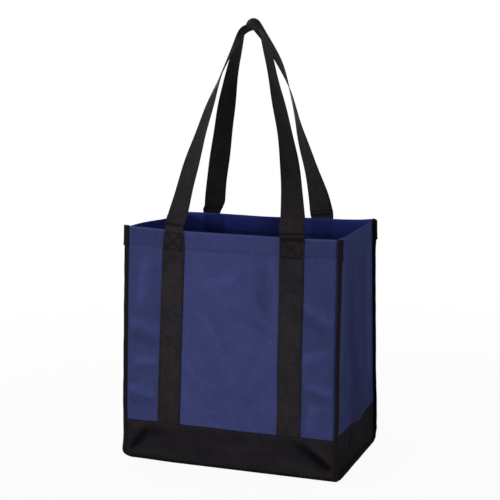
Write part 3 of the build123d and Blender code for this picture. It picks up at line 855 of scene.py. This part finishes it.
def hemmed(shape):
    """Rows of a cloth that climbs from under the band to the rim, turns over it on a half circle and hangs inside
    as a hem. Gives the height, the inset and the flat distance of each row, and how many rows climb."""
    radius = shape.cloth + PLY_GAP / 2
    top, above = shape.height - radius, shape.hem + HEM_ZONE
    climb = spaced_rows((shape.band - SEAM_LAP, shape.band, shape.hem - HEM_ZONE, above, top),
                        (ROW, ROW, FOLD_ROW, ROW))
    turn = np.linspace(0, pi, 9)[1:-1]
    fall = spaced_rows((top, above, shape.hem), (ROW, 1.6 * MM))
    heights = np.concatenate([climb, top + radius * np.sin(turn), fall])
    insets = np.concatenate([0 * climb, radius * (1 - np.cos(turn)), np.full_like(fall, 2 * radius)])
    return heights, insets, run_length(heights, insets), len(climb)


def rim_rows(shape, name, heights, u):
    """Heights of the rows of a hemmed cloth, lowered by the dip of its rim as the square of the way up."""
    return heights[:, None] - shape.rise(heights)[:, None] ** 2 * shape.rim_drop(name, u)[None, :]


def hem_wear_and_shade(shape, heights, z):
    """Wear and painted shade of a hemmed cloth: rubbed lighter along the rim, painted shade where the hem doubles it.
    """
    return hump(heights, shape.height, 1.5 * MM)[:, None] - 0.14 * eased(shape.hem - MM, shape.hem + MM, z)


def seam_flap(shape, side, hand, rows, run, inset):
    """Grid of the strip that turns outwards along a corner seam."""
    out = np.linspace(shape.half - shape.ply - FLAP_OVERLAP, shape.flap, 6) * HANDS[hand]
    strip = shape.face(side, out[None, :], rows[:, None], inset)
    return shape.settle(strip), lay(out, run), 0.0, (SIDES[side] > 0) != (HANDS[hand] < 0)


def girdle_rows(shape, top, turned, climb, floor):
    """Distances along the side line from the front's top, under the base, to the back's, closer round the folds."""
    marks = (-top, -turned, -shape.flat, shape.flat, turned, top)
    return spaced_rows(marks, (climb, FOLD_ROW, floor, FOLD_ROW, climb))


class TOTE_OT_panels(bpy.types.Operator):
    """Front and back cloths, each with its seam flaps and a hem folded over the rim"""

    bl_idname = "tote.panels"
    bl_label = "Panels"

    def execute(self, context):
        shape = Shape(context.scene)
        edge = shape.half - shape.ply
        x = np.linspace(-edge, edge, PANEL_COLUMNS)
        heights, insets, run, climb = hemmed(shape)
        narrow = np.where(insets > shape.cloth, 1 - 1.4 * MM / edge, 1.0)[:, None]
        for side, sign in SIDES.items():
            z = rim_rows(shape, side, heights, (x / edge + 1) / 2)
            face = shape.face(side, x[None, :] * narrow, z, shape.ply + insets[:, None])
            wear_and_shade = self.wear_and_shade(shape, side, x, z, heights, insets)
            grids = [(shape.settle(face), lay(x, run), wear_and_shade, sign > 0)]
            grids += [seam_flap(shape, side, hand, heights[:climb], run[:climb], shape.ply + FLAP_STEP)
                      for hand in HANDS]
            piece = grid_piece(f"{side}_panel_cloth", grids, shape.cloth)
            finish_piece(piece, "Navy cloth", "bag", [f"{side}_panel"])
        return {"FINISHED"}

    def wear_and_shade(self, shape, side, x, z, heights, insets):
        """Wear and painted shading of a panel: painted light on its ridges; painted shade in its hollows, behind the
        straps and, at the front, outside the straps; darker along the hem's stitches; the back has painted light
        outside its left strap and a little painted shade outside its right."""
        # Painted shade on the cloth where a strap lies behind it
        backing = shape.strap_mask(side, x[None, :], z, 0.46 * shape.strap_width, 0.54 * shape.strap_width)
        beyond = eased(68 * MM, 110 * MM, np.abs(x))[None, :]
        # Front: painted shade behind and outside the straps. Back: painted shade behind the straps, painted light
        # outside the left strap and a little painted shade outside the right
        if side == "front":
            strips = np.maximum(0.5 * backing, 0.24 * beyond)
        else:
            strips = 0.3 * backing - np.where(x < 0, 0.9, -0.12) * beyond * (1 - backing)
        sewn = 0.12 * hump(heights, shape.hem + HEM_STITCH, 1.0 * MM)[:, None]
        # Painted light on the folds' ridges and painted shade in their hollows
        tone = shape.fold_shading(side, x[None, :], z) * (insets == 0)[:, None]
        return hem_wear_and_shade(shape, heights, z) - strips - sewn + np.where(tone > 0, 0.20, 0.055) * tone


class TOTE_OT_gussets(bpy.types.Operator):
    """Left and right side cloths, each with its seam flanges and a hem folded over the rim"""

    bl_idname = "tote.gussets"
    bl_label = "Gussets"

    def execute(self, context):
        shape = Shape(context.scene)
        v = np.linspace(0, 1, GUSSET_COLUMNS)
        heights, insets, run, climb = hemmed(shape)
        ends = WEB_END + np.where(insets > shape.cloth, 1.0 * MM, 0.0)[:, None]
        rows = heights[:climb][heights[:climb] > shape.band]
        for hand, way in HANDS.items():
            z = rim_rows(shape, hand, heights, v)
            web = shape.gusset(hand, v[None, :], z, shape.ply + insets[:, None], ends)
            # Rubbed rim, painted shade along the doubled hem, and the gusset's painted light and shade
            wear_and_shade = hem_wear_and_shade(shape, heights, z) + shape.gusset_shading(v[None, :], z)
            grids = [(shape.settle(web), lay((v - 0.5) * shape.base, run), wear_and_shade, way < 0)]
            grids += [seam_flap(shape, side, hand, rows, rows, FLANGE_INSET) for side in SIDES]
            piece = grid_piece(f"{hand}_gusset_cloth", grids, shape.cloth)
            finish_piece(piece, "Navy cloth", "bag", [f"{hand}_gusset"])
            shape.base - 2 * WEB_END + 2 * SEAM_ALLOWANCE
        return {"FINISHED"}


class TOTE_OT_base(bpy.types.Operator):
    """Black base: one wrap down the front, under the bag and up the back, and a band on each gusset"""

    bl_idname = "tote.base"
    bl_label = "Base"

    def execute(self, context):
        shape = Shape(context.scene)
        top = shape.channel_at(shape.band)
        s = girdle_rows(shape, top, shape.fold_end + 2 * MM, 2.0 * MM, 5.0 * MM)
        self.wrap(shape, s, top)
        for hand in HANDS:
            self.band(shape, s, hand)
        return {"FINISHED"}

    def wrap(self, shape, s, top):
        """One cloth along the side line, stood off by the faces' relief and swollen over the strap ends."""
        flap = np.linspace(shape.half + 0.4 * MM, shape.flap, 5)
        x = np.concatenate([-flap[::-1], np.linspace(-shape.half, shape.half, BASE_COLUMNS), flap])
        wrap = shape.around(s[:, None], x[None, :], np.where(np.abs(x) > shape.half, FLAP_STEP, 0.0)[None, :])
        z, *normal = shape.channel(s)[1:]
        inward = np.stack([0 * s, *normal], axis=-1)[:, None, :]
        for side, rows in (("front", s < 0), ("back", s >= 0)):
            place = side, x[None, :], z[rows, None]
            wrap[rows] -= (shape.relief(*place) + shape.band_bump(*place))[..., None] * inward[rows]
        away = np.abs(s)
        folded, lip = 0.25 * hump(away, shape.flat + 4 * MM, 4 * MM), 0.9 * hump(away, top - 3 * MM, 4 * MM)
        seams = 0.5 * hump(np.abs(x), shape.half, 2 * MM)
        # Painted sheen: painted light across the middle of the band's lower half
        sheen = hump(z, 24 * MM, 12 * MM)[:, None] * hump(x, 0.0, 85 * MM)[None, :]
        # Painted light a little above the floor and painted shade along the band's lowest strip, where it turns under
        edge = 0.5 * hump(z, 13 * MM, 4 * MM) - eased(9 * MM, 2 * MM, z)
        wear_and_shade = np.maximum((folded + lip)[:, None], seams[None, :]) + 0.6 * sheen + edge[:, None]
        # Painted light on the folds' ridges and painted shade in their hollows and corner grooves
        tones = [shape.fold_shading(side, x[None, :], z[:, None]) for side in SIDES]
        tone = np.where(s[:, None] < 0, *tones) * eased(1 * MM, 8 * MM, z)[:, None]
        wear_and_shade = wear_and_shade + np.where(tone > 0, 0.55, 0.23) * tone
        piece = grid_piece("base_wrap_cloth", [(shape.settle(wrap), lay(x, s), wear_and_shade, True)], shape.cloth)
        finish_piece(piece, "Black cloth", "bag", ["base_wrap"])
        2 * top

    def band(self, shape, s, hand):
        """The black band of a gusset, with a flange that follows the side line between the seam's layers."""
        way, v = HANDS[hand], np.linspace(0, 1, GUSSET_COLUMNS)
        low = FLANGE_INSET + 0.2 * MM
        high = spaced_rows((low, FOLD_RADIUS, shape.band), (0.8 * MM, 2.0 * MM))
        web = shape.gusset(hand, v[None, :], high[:, None], 0.0, FLANGE_INSET)
        lightened = np.maximum(0.8 * hump(high, low, 3 * MM), 0.6 * hump(high, shape.band, 1.5 * MM))[:, None]
        # Painted shade, deeper towards the floor and the front seam
        shaded = 0.45 * hump(v, 0.06, 0.24)[None, :] * eased(52 * MM, 15 * MM, high)[:, None]
        out = np.linspace(shape.half - FLAP_OVERLAP, shape.flap, 5) * way
        strip = shape.around(s[:, None], out[None, :], FLANGE_INSET)
        grids = [(shape.settle(web), lay((v - 0.5) * shape.base, high), lightened - shaded, way < 0),
                 (shape.settle(strip), lay(out, s), 0.0, way > 0)]
        piece = grid_piece(f"{hand}_gusset_band_cloth", grids, shape.cloth)
        finish_piece(piece, "Black cloth", "bag", [f"{hand}_gusset_band"])
        shape.base + 2 * SEAM_ALLOWANCE
        shape.band + SEAM_ALLOWANCE


class TOTE_OT_bindings(bpy.types.Operator):
    """Tape folded over each side seam, and the short tapes over its top ends"""

    bl_idname = "tote.bindings"
    bl_label = "Bindings"

    def tape_profile(self, shape):
        """Tape folded round the seam: out along one leaf, half round the fold and back along the other."""
        radius, start = TAPE_BACK / 2, shape.half + TAPE_STANDOFF
        leaf = np.linspace(start, shape.flap + 0.5 * MM - radius, 6)
        turn = np.linspace(-pi / 2, pi / 2, 9)[1:-1]
        x = np.concatenate([leaf, leaf[-1] + radius * np.cos(turn), leaf[::-1]])
        inset = np.concatenate([0 * leaf, radius + radius * np.sin(turn), np.full_like(leaf, TAPE_BACK)])
        return x, inset

    def execute(self, context):
        shape = Shape(context.scene)
        x, inset = self.tape_profile(shape)
        width = run_length(x, inset)
        top = shape.channel_at(shape.height - 0.4 * MM)
        s = girdle_rows(shape, top, shape.fold_end, 3.0 * MM, 4.0 * MM)
        swell = hump(x, shape.half + 5.0 * MM, 2.2 * MM) * np.where(inset < TAPE_BACK / 2, -1, 1)
        stretch = (x - shape.half) / SEAM_ALLOWANCE
        free = eased(0.004, 0.02, shape.channel(s)[1])
        for hand, way in HANDS.items():
            phase = TAPE_PHASE[hand]
            reach = TAPE_WANDER * (np.sin(2 * pi * s / 0.061 + phase) + 0.6 * np.sin(2 * pi * s / 0.027))
            puff = TAPE_PUFF * (1 + 0.8 * np.sin(2 * pi * s / 0.033 + phase)) * free
            across = x[None, :] + reach[:, None] * stretch[None, :]
            tape = shape.around(s[:, None], across * way, inset[None, :] + puff[:, None] * swell[None, :])
            wear_and_shade = hump(width, width[-1] / 2, 1.2 * MM)[None, :]
            grids = [(shape.settle(tape), lay(width, s), wear_and_shade, way > 0)]
            piece = grid_piece(f"{hand}_binding_tape", grids, TAPE)
            finish_piece(piece, "Black tape", "bag", [f"{hand}_binding"])
            2 * top
            for side in SIDES:
                self.cap(shape, side, hand)
        return {"FINISHED"}

    def cap(self, shape, side, hand):
        """Short tape over the top end of a binding: a flat sleeve whose section closes to a ridge at the top."""
        way, turn = HANDS[hand], np.linspace(0, 2 * pi, 33)
        box = np.stack([np.cos(turn), np.sin(turn)], axis=-1)
        wide, deep = (np.sign(box) * np.abs(box) ** np.array([0.45, 0.6])).T
        low, shoulder = shape.height - CAP_HEIGHT, shape.height - CAP_SHOULDER
        close = np.linspace(0, pi / 2, 8)[1:]
        z = np.concatenate([np.linspace(low, shoulder, 16), shoulder + CAP_RIDGE * np.sin(close)])
        shut = np.concatenate([np.ones(16), np.cos(close) ** 0.8])
        flare = 0.06 * eased(low + 9 * MM, low, z)[:, None]
        x = shape.half + CAP_MIDDLE + wide[None, :] * CAP_HALF * (1 + flare) + 4 * MM * flare
        inset = TAPE_BACK / 2 + deep[None, :] * CAP_THICK * (1 + flare) * shut[:, None]
        sleeve = shape.face(side, x * way, z[:, None], inset)
        girth = run_length(wide * CAP_HALF, deep * CAP_THICK)
        wear_and_shade = np.maximum(hump(z, shape.height, 1.5 * MM)[:, None], 0.7 * hump(wide, 1, 0.2)[None, :])
        grids = [(shape.settle(sleeve), lay(girth, z), wear_and_shade, (SIDES[side] > 0) == (way > 0))]
        piece = grid_piece(f"{side}_{hand}_cap_tape", grids, TAPE, closed=True)
        finish_piece(piece, "Black tape", "bag", [f"{side}_{hand}_cap"])


def ribbon_profile(width, thick):
    """Section of a folded strap: two flat faces, pressed in along the stitch lines, joined by round edges."""
    w = np.concatenate([[-0.5, -0.488, -0.46], np.linspace(-0.44, 0.44, 31), [0.46, 0.488, 0.5]]) * width
    edge = np.sqrt(np.clip(1 - ((np.abs(w) - 0.45 * width) / (0.05 * width)).clip(0, 1) ** 2, 0, 1))
    n = 0.5 * thick * edge * (1 - 0.30 * hump(np.abs(w), EDGE_STITCH * width, STITCH_DENT))
    return np.concatenate([w, w[-2::-1]]), np.concatenate([n, -n[-2::-1]])


def ribbon_lift(shape, side, along, points, w):
    """Soft curl of a free loop: its edges rise and fall in slow waves, and lie flat where the strap is sewn down."""
    free = eased(shape.height + 4 * MM, shape.height + 50 * MM, points[:, 2])[:, None]
    share, phase = (w / (0.5 * shape.strap_width))[None, :], LOOP_PHASE[side]
    curl = LOOP_CURL[1] * share**2 * np.sin(2 * pi * along / LOOP_CURL[0] + phase)[:, None]
    sway = LOOP_SWAY[1] * share * np.sin(2 * pi * along / LOOP_SWAY[0] + 2 * phase)[:, None]
    return free * (curl + sway)


def box_corners(shape):
    """Low and high edge of the crossed box of stitches, from the rim, and half its width."""
    return shape.hem - shape.height - 1 * MM, -3.0 * MM, 0.40 * shape.strap_width


def box_lines(shape, w, past):
    """How much the crossed box presses a strap at w across and past along it from the rim: a bell over each line."""
    low, high, reach = box_corners(shape)
    line = 1.2 * MM
    within = eased(low - line, low, past) * eased(high + line, high, past)
    within = within * eased(reach + line, reach, np.abs(w))
    slant = ((past - low) / (high - low) * 2 - 1) * reach
    tilted = line / cos(atan2(2 * reach, high - low))
    lines = [hump(w, slant, tilted), hump(w, -slant, tilted), hump(np.abs(w), reach, line),
             hump(past, low, 1.5 * line), hump(past, high, line)]
    return within * np.maximum.reduce(np.broadcast_arrays(*lines, np.full_like(w, 0.01)))


def bend_at_rim(piece, side):
    """Looks up the handle's swing joint where the strap leaves the rim, and bakes a strap piece's place into its
    mesh.
    """
    joint = next(j for j in frame["joints"] if j["name"] == f"{side}_handle_swing")
    x, y, z = joint["pos_m"]
    z - 0.002
    z + 0.010
    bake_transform(piece)


class TOTE_OT_straps(bpy.types.Operator):
    """Two straps, each sewn up one leg, looped free above the rim and sewn down the other leg"""

    bl_idname = "tote.straps"
    bl_label = "Straps"

    def execute(self, context):
        shape = Shape(context.scene)
        w, n = ribbon_profile(shape.strap_width, shape.strap_thick)
        middle = len(w) // 2 + 1
        girth = np.concatenate([w[:middle], 2 * w.max() - w[middle:]])
        for side in SIDES:
            points, across, normal, along, past = shape.strap_line(side)
            shut = np.ones((len(along), 1))
            shut[[0, -1]] = 0
            pressed = box_lines(shape, w[None, :], past[:, None]) * (n > 0)
            drawn = shape.drawn_along(side, w[None, :], along[:, None], past[:, None])
            out = n[None, :] * shut + ribbon_lift(shape, side, along, points, w) - BOX_DENT * pressed
            rows = points[:, None, :] + across[:, None, :] * drawn[..., None]
            rows = rows + normal[:, None, :] * out[..., None]
            wear_and_shade = self.wear_and_shade(shape, side, w, along, past, pressed)
            piece = grid_piece(f"{side}_strap", [(rows, lay(girth, along), wear_and_shade, False)], closed=True)
            finish_piece(piece, "Black strap",
                         nodes=[f"{side}_left_leg", f"{side}_right_leg", f"{side}_loop"])
            bend_at_rim(piece, side)
        return {"FINISHED"}

    def wear_and_shade(self, shape, side, w, along, past, pressed):
        """Wear and painted shade of a strap: rubbed lighter along its edges, darker along its stitches and in its
        crossed box, painted shade in its creases.
        """
        off = np.abs(w)
        edges = 0.8 * hump(off, 0.5 * shape.strap_width, 0.6 * MM)
        edges = (edges - 0.35 * hump(off, EDGE_STITCH * shape.strap_width, STITCH_DENT))[None, :]
        crease_shade = np.zeros(len(along))
        first = along < along[-1] / 2
        for near, places in zip((first, ~first), STRAP_RUNS[side]["puckers"]):
            for place in places:
                crease_shade = np.maximum(crease_shade, near * hump(past, place * MM, CREASE_HALF))
        # Painted shade in the creases
        dark = np.maximum(pressed, 0.22 * (pressed > 0)) + 0.9 * crease_shade[:, None]
        return np.where(dark > 0.03, np.minimum(edges, -np.minimum(dark, 1)), edges)


def sewn_row(shape, row, up):
    """A row of points on the settled body, with one outer normal for all of them."""
    return shape.settle(row), np.broadcast_to(np.array(up, float), row.shape)


def stitch_piece(name, rows, strap, finish):
    """Stitches along rows of points: each a small rounded lozenge of thread, half sunk in the cloth. A row is its
    points along the surface and its outer normals; stitches sit one pitch apart by distance along it."""
    placed = []
    for points, normals in rows:
        along = run_length(*points.T)
        count = max(1, int((along[-1] - strap.stitch) / strap.pitch) + 1)
        spot = (along[-1] - (count - 1) * strap.pitch) / 2 + np.arange(count) * strap.pitch
        start, end = (sampled(spot + way * strap.stitch / 2, along, points)[0] for way in (-1, 1))
        up, way = sampled(spot, along, normals)[0], unit(end - start)
        placed.append(((start + end) / 2, way, unit(up - (up * way).sum(1, keepdims=True) * way)))
    place, way, up = (np.concatenate(parts) for parts in zip(*placed))
    ring = np.linspace(0, 2 * pi, 7)[:-1]
    run = np.array([-0.5, -0.34, 0.0, 0.34, 0.5])[:, None] * strap.stitch
    girth = np.array([0.35, 0.9, 1.0, 0.9, 0.35])[:, None] * strap.thread / 2
    dip = np.array([-0.5, -0.05, 0.12, -0.05, -0.5])[:, None] * strap.thread
    local = np.broadcast_arrays(run, girth * np.cos(ring), girth * np.sin(ring) + dip)
    local = np.stack(local, axis=-1).reshape(-1, 3)
    points = place[:, None, :] + sum(axis[:, None, :] * local[None, :, k:k + 1]
                                     for k, axis in enumerate((way, np.cross(up, way), up)))
    index = np.arange(len(local)).reshape(len(run), len(ring))
    after = np.roll(index, -1, axis=1)
    quads = np.stack([index[:-1], after[:-1], after[1:], index[1:]], axis=-1).reshape(-1, 4)
    ends = np.array([index[0, ::-1], index[-1]])
    number = np.arange(len(place))[:, None, None]
    faces = [(part[None] + number * len(local)).reshape(-1, part.shape[1]).tolist() for part in (quads, ends)]
    mesh = bpy.data.meshes.new(name)
    mesh.from_pydata(points.reshape(-1, 3).tolist(), [], faces[0] + faces[1])
    corner = np.zeros(len(mesh.loops), np.int32)
    mesh.loops.foreach_get("vertex_index", corner)
    flat = (local[None, :, :2] + number * np.array([strap.pitch, 0])).reshape(-1, 2)
    mesh.uv_layers.new(name=FLAT_MAP).uv.foreach_set("vector", flat[corner].astype(np.float32).ravel())
    return finish_piece(linked_piece(name, mesh), finish)


class TOTE_OT_stitching(bpy.types.Operator):
    """Rows of stitches along the hems, the band, the bindings and the straps, with a crossed box at each leg"""

    bl_idname = "tote.stitching"
    bl_label = "Stitching"

    def execute(self, context):
        shape, strap = Shape(context.scene), context.scene.tote_strap
        self.hems(shape, strap)
        self.bands(shape, strap)
        self.tapes(shape, strap)
        for side in SIDES:
            self.straps(shape, strap, side)
        return {"FINISHED"}

    def hems(self, shape, strap):
        """One row just above the lower edge of each hem, outside and inside."""
        edge = shape.half - 3 * MM
        x, v = np.linspace(-edge, edge, 400), np.linspace(0.02, 0.98, 260)
        high = np.array([shape.hem + HEM_STITCH])
        for name in (*SIDES, *HANDS):
            rows = []
            for inset, face in ((0.0, 1), (2 * shape.cloth + PLY_GAP, -1)):
                if name in SIDES:
                    z = rim_rows(shape, name, high, (x / shape.half + 1) / 2)[0]
                    row, up = shape.face(name, x, z, shape.ply + inset), (0, SIDES[name] * face, 0)
                else:
                    z = rim_rows(shape, name, high, v)[0]
                    row, up = shape.gusset(name, v, z, shape.ply + inset), (HANDS[name] * face, 0, 0)
                rows.append(sewn_row(shape, row, up))
            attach(stitch_piece(f"{name}_hem_stitches", rows, strap, "Navy thread"), "bag")

    def bands(self, shape, strap):
        """One row just below the top edge of each band, outside and inside."""
        edge, high = shape.half - 2 * MM, shape.band - BAND_STITCH
        x, v = np.linspace(-edge, edge, 400), np.linspace(0.015, 0.985, 260)
        rows = []
        for name, sign in SIDES.items():
            outer, inner = (shape.face(name, x, high, inset) for inset in (0.0, shape.ply + shape.cloth))
            outer[:, 1] += sign * shape.band_bump(name, x, high)
            rows += [sewn_row(shape, row, (0, sign * face, 0)) for row, face in ((outer, 1), (inner, -1))]
        for name, sign in HANDS.items():
            rows += [sewn_row(shape, shape.gusset(name, v, high, inset, FLANGE_INSET), (sign * face, 0, 0))
                     for inset, face in ((0.0, 1), (shape.ply + shape.cloth, -1))]
        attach(stitch_piece("band_stitches", rows, strap, "Black thread"), "bag")

    def tapes(self, shape, strap):
        """One row along each leaf of the bindings and of the tapes over their ends, near the seam."""
        stop, end = (shape.channel_at(shape.height - drop) for drop in (CAP_HEIGHT + 1 * MM, 2 * MM))
        past, outer = stop + 2 * MM, -0.75 * MM
        for hand, way in HANDS.items():
            rows = []
            for low, high, inset in ((-stop, stop, 0.0), (-end, -past, outer), (past, end, outer)):
                s = np.linspace(low, high, 900)
                inward = np.stack([0 * s, *shape.channel(s)[2:]], axis=-1)
                for depth, face in ((inset, -1), (TAPE_BACK - inset, 1)):
                    row = shape.around(s, (shape.half + TAPE_STITCH) * way, depth)
                    rows.append((shape.settle(row), face * inward))
            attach(stitch_piece(f"{hand}_binding_stitches", rows, strap, "Black thread"), "bag")

    def straps(self, shape, strap, side):
        """A row along both edges of a strap on each face, and a crossed box on each leg under the rim."""
        points, across, normal, along, past = shape.strap_line(side)
        inner, off, inside = EDGE_STITCH * shape.strap_width, 0.36 * shape.strap_thick, slice(3, -3)
        rows = []
        for edge in (-inner, inner):
            drawn = shape.drawn_along(side, edge, along, past)
            lift = ribbon_lift(shape, side, along, points, np.array([edge]))[:, 0]
            for face in (1, -1):
                row = points + across * drawn[:, None] + normal * (lift + face * off)[:, None]
                rows.append((row[inside], normal[inside] * face))
        rows += self.boxes(shape, side)
        bend_at_rim(stitch_piece(f"{side}_strap_stitches", rows, strap, "Black thread"), side)

    def boxes(self, shape, side):
        """A box of stitches with both diagonals on each leg, outside on the strap and inside on the hem."""
        rows, sign, share = [], SIDES[side], np.linspace(0, 1, 60)
        low, high, reach = box_corners(shape)
        low, high = shape.height + low, shape.height + high
        corners = ((-reach, low), (reach, low), (reach, high), (-reach, high))
        layers = ((shape.ply - STRAP_GAP - 0.8 * shape.strap_thick, 1),
                  (shape.ply + 2 * shape.cloth + PLY_GAP, -1))
        for hand in (0, 1):
            for first, last in ((0, 1), (1, 2), (2, 3), (3, 0), (0, 2), (1, 3)):
                (x0, z0), (x1, z1) = corners[first], corners[last]
                z, w = z0 + (z1 - z0) * share, -sign * (x0 + (x1 - x0) * share)
                x = shape.strap_x(side, hand, z) - sign * shape.drawn_in(side, hand, w, z - shape.height)
                rows += [sewn_row(shape, shape.face(side, x, z, inset), (0, sign * face, 0))
                         for inset, face in layers]
        return rows


class TOTE_OT_board(bpy.types.Operator):
    """Finish of the loose stiff sheet on the base"""

    bl_idname = "tote.board"
    bl_label = "Base board"

    def execute(self, context):
        board = frame["nodes"]["base_board"]
        board.data.materials.clear()
        board.data.materials.append(finish_named("Base board"))
        return {"FINISHED"}


class TOTE_OT_stage(bpy.types.Operator):
    """White floor, even sky, two soft lamps and the camera"""

    bl_idname = "tote.stage"
    bl_label = "Stage"
    lamps = {"Key light": ((-2.0, -4.3, 0.7), 146), "Back light": ((-2.3, 4.1, 0.6), 60)}
    lamp_size, lamp_target = 0.9, (0, 0, 0.25)
    floor_half, floor_drop = 6.0, 0.4 * MM
    glow_share, glow_fade = 0.93, (0.4, 1.3)  # how white the floor is at the bag, and where it turns white

    def execute(self, context):
        scene, stage = context.scene, context.scene.tote_stage
        scene.view_settings.view_transform = "Standard"
        self.floor()
        self.sky(scene, stage)
        for name, (place, power) in self.lamps.items():
            self.lamp(scene, name, place, power)
        view = bpy.data.cameras.new("Camera")
        view.sensor_fit, view.sensor_width, view.lens = "HORIZONTAL", 36.0, stage.lens
        view.clip_start, view.clip_end = 0.01, 50
        camera = bpy.data.objects.new("Camera", view)
        camera.location = stage.camera
        camera.rotation_euler = (pi / 2 - stage.dip, 0, stage.bearing)
        scene.collection.objects.link(camera)
        scene.camera = camera
        return {"FINISHED"}

    def floor(self):
        """A wide level sheet just under the bag that reads as white and keeps a soft shadow."""
        x, y = np.meshgrid(*[(-self.floor_half, self.floor_half)] * 2)
        sheet = np.stack([x, y, np.full_like(x, -self.floor_drop)], axis=-1)
        floor = grid_piece("floor", [(sheet, sheet[..., :2], 0.0, False)])
        finish = Finish("White floor", Base_Color=(0.86, 0.86, 0.86, 1), Roughness=0.9)
        glow = finish.node("ShaderNodeEmission", {}, {"Color": WHITE, "Strength": 1.0})
        away = finish.vector("LENGTH", finish.place(), output="Value").eased(*self.glow_fade)
        plain = Value(finish, finish.shader.outputs[0])
        finish.seen_white(plain, glow, self.glow_share + away * (1 - self.glow_share))
        floor.data.materials.append(finish.material)

    def sky(self, scene, stage):
        """Even white light, seen as white."""
        world = bpy.data.worlds.new("Studio")
        world.use_nodes = True
        world.node_tree.nodes.remove(world.node_tree.nodes["Background"])
        nodes = Nodes(world.node_tree)
        plain, glow = (nodes.node("ShaderNodeBackground", {}, {"Color": WHITE, "Strength": strength})
                       for strength in (stage.sky, 1.0))
        nodes.seen_white(plain, glow)
        scene.world = world

    def lamp(self, scene, name, place, power):
        """A square soft light at a place, turned to the bag."""
        light = bpy.data.lights.new(name, "AREA")
        light.shape, light.size, light.energy = "SQUARE", self.lamp_size, power
        lamp = bpy.data.objects.new(name, light)
        x, y, z = np.subtract(self.lamp_target, place)
        lamp.location = place
        lamp.rotation_euler = (atan2(hypot(x, y), -z), 0, atan2(-x, y))
        scene.collection.objects.link(lamp)


class TOTE_PT_sidebar(bpy.types.Panel):
    """Sizes, colours and build steps of the tote"""

    bl_idname = "TOTE_PT_sidebar"
    bl_label = "Shopping tote"
    bl_space_type = "VIEW_3D"
    bl_region_type = "UI"
    bl_category = "Tote"

    def draw(self, context):
        for group in GROUPS:
            settings = getattr(context.scene, group)
            box = self.layout.box()
            for name in settings.__annotations__:
                box.prop(settings, name)
        for step in STEPS:
            self.layout.operator(step.bl_idname)


GROUPS = {"tote_body": ToteBody, "tote_strap": ToteStrap, "tote_finish": ToteFinish, "tote_stage": ToteStage}
STEPS = (TOTE_OT_base, TOTE_OT_panels, TOTE_OT_gussets, TOTE_OT_bindings, TOTE_OT_straps, TOTE_OT_stitching,
         TOTE_OT_board, TOTE_OT_stage)


def register():
    """Registers every class and puts the groups of sizes on the scene."""
    for item in (*GROUPS.values(), *STEPS, TOTE_PT_sidebar):
        bpy.utils.register_class(item)
    for name, group in GROUPS.items():
        setattr(bpy.types.Scene, name, PointerProperty(type=group))


def unregister():
    """Takes the groups off the scene and unregisters every class, last first."""
    for name in GROUPS:
        delattr(bpy.types.Scene, name)
    for item in reversed((*GROUPS.values(), *STEPS, TOTE_PT_sidebar)):
        bpy.utils.unregister_class(item)


def main():
    """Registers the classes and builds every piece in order."""
    register()
    for step in STEPS:
        group, name = step.bl_idname.split(".")
        getattr(getattr(bpy.ops, group), name)()
    bpy.context.view_layer.update()


if __name__ == "__main__":
    main()
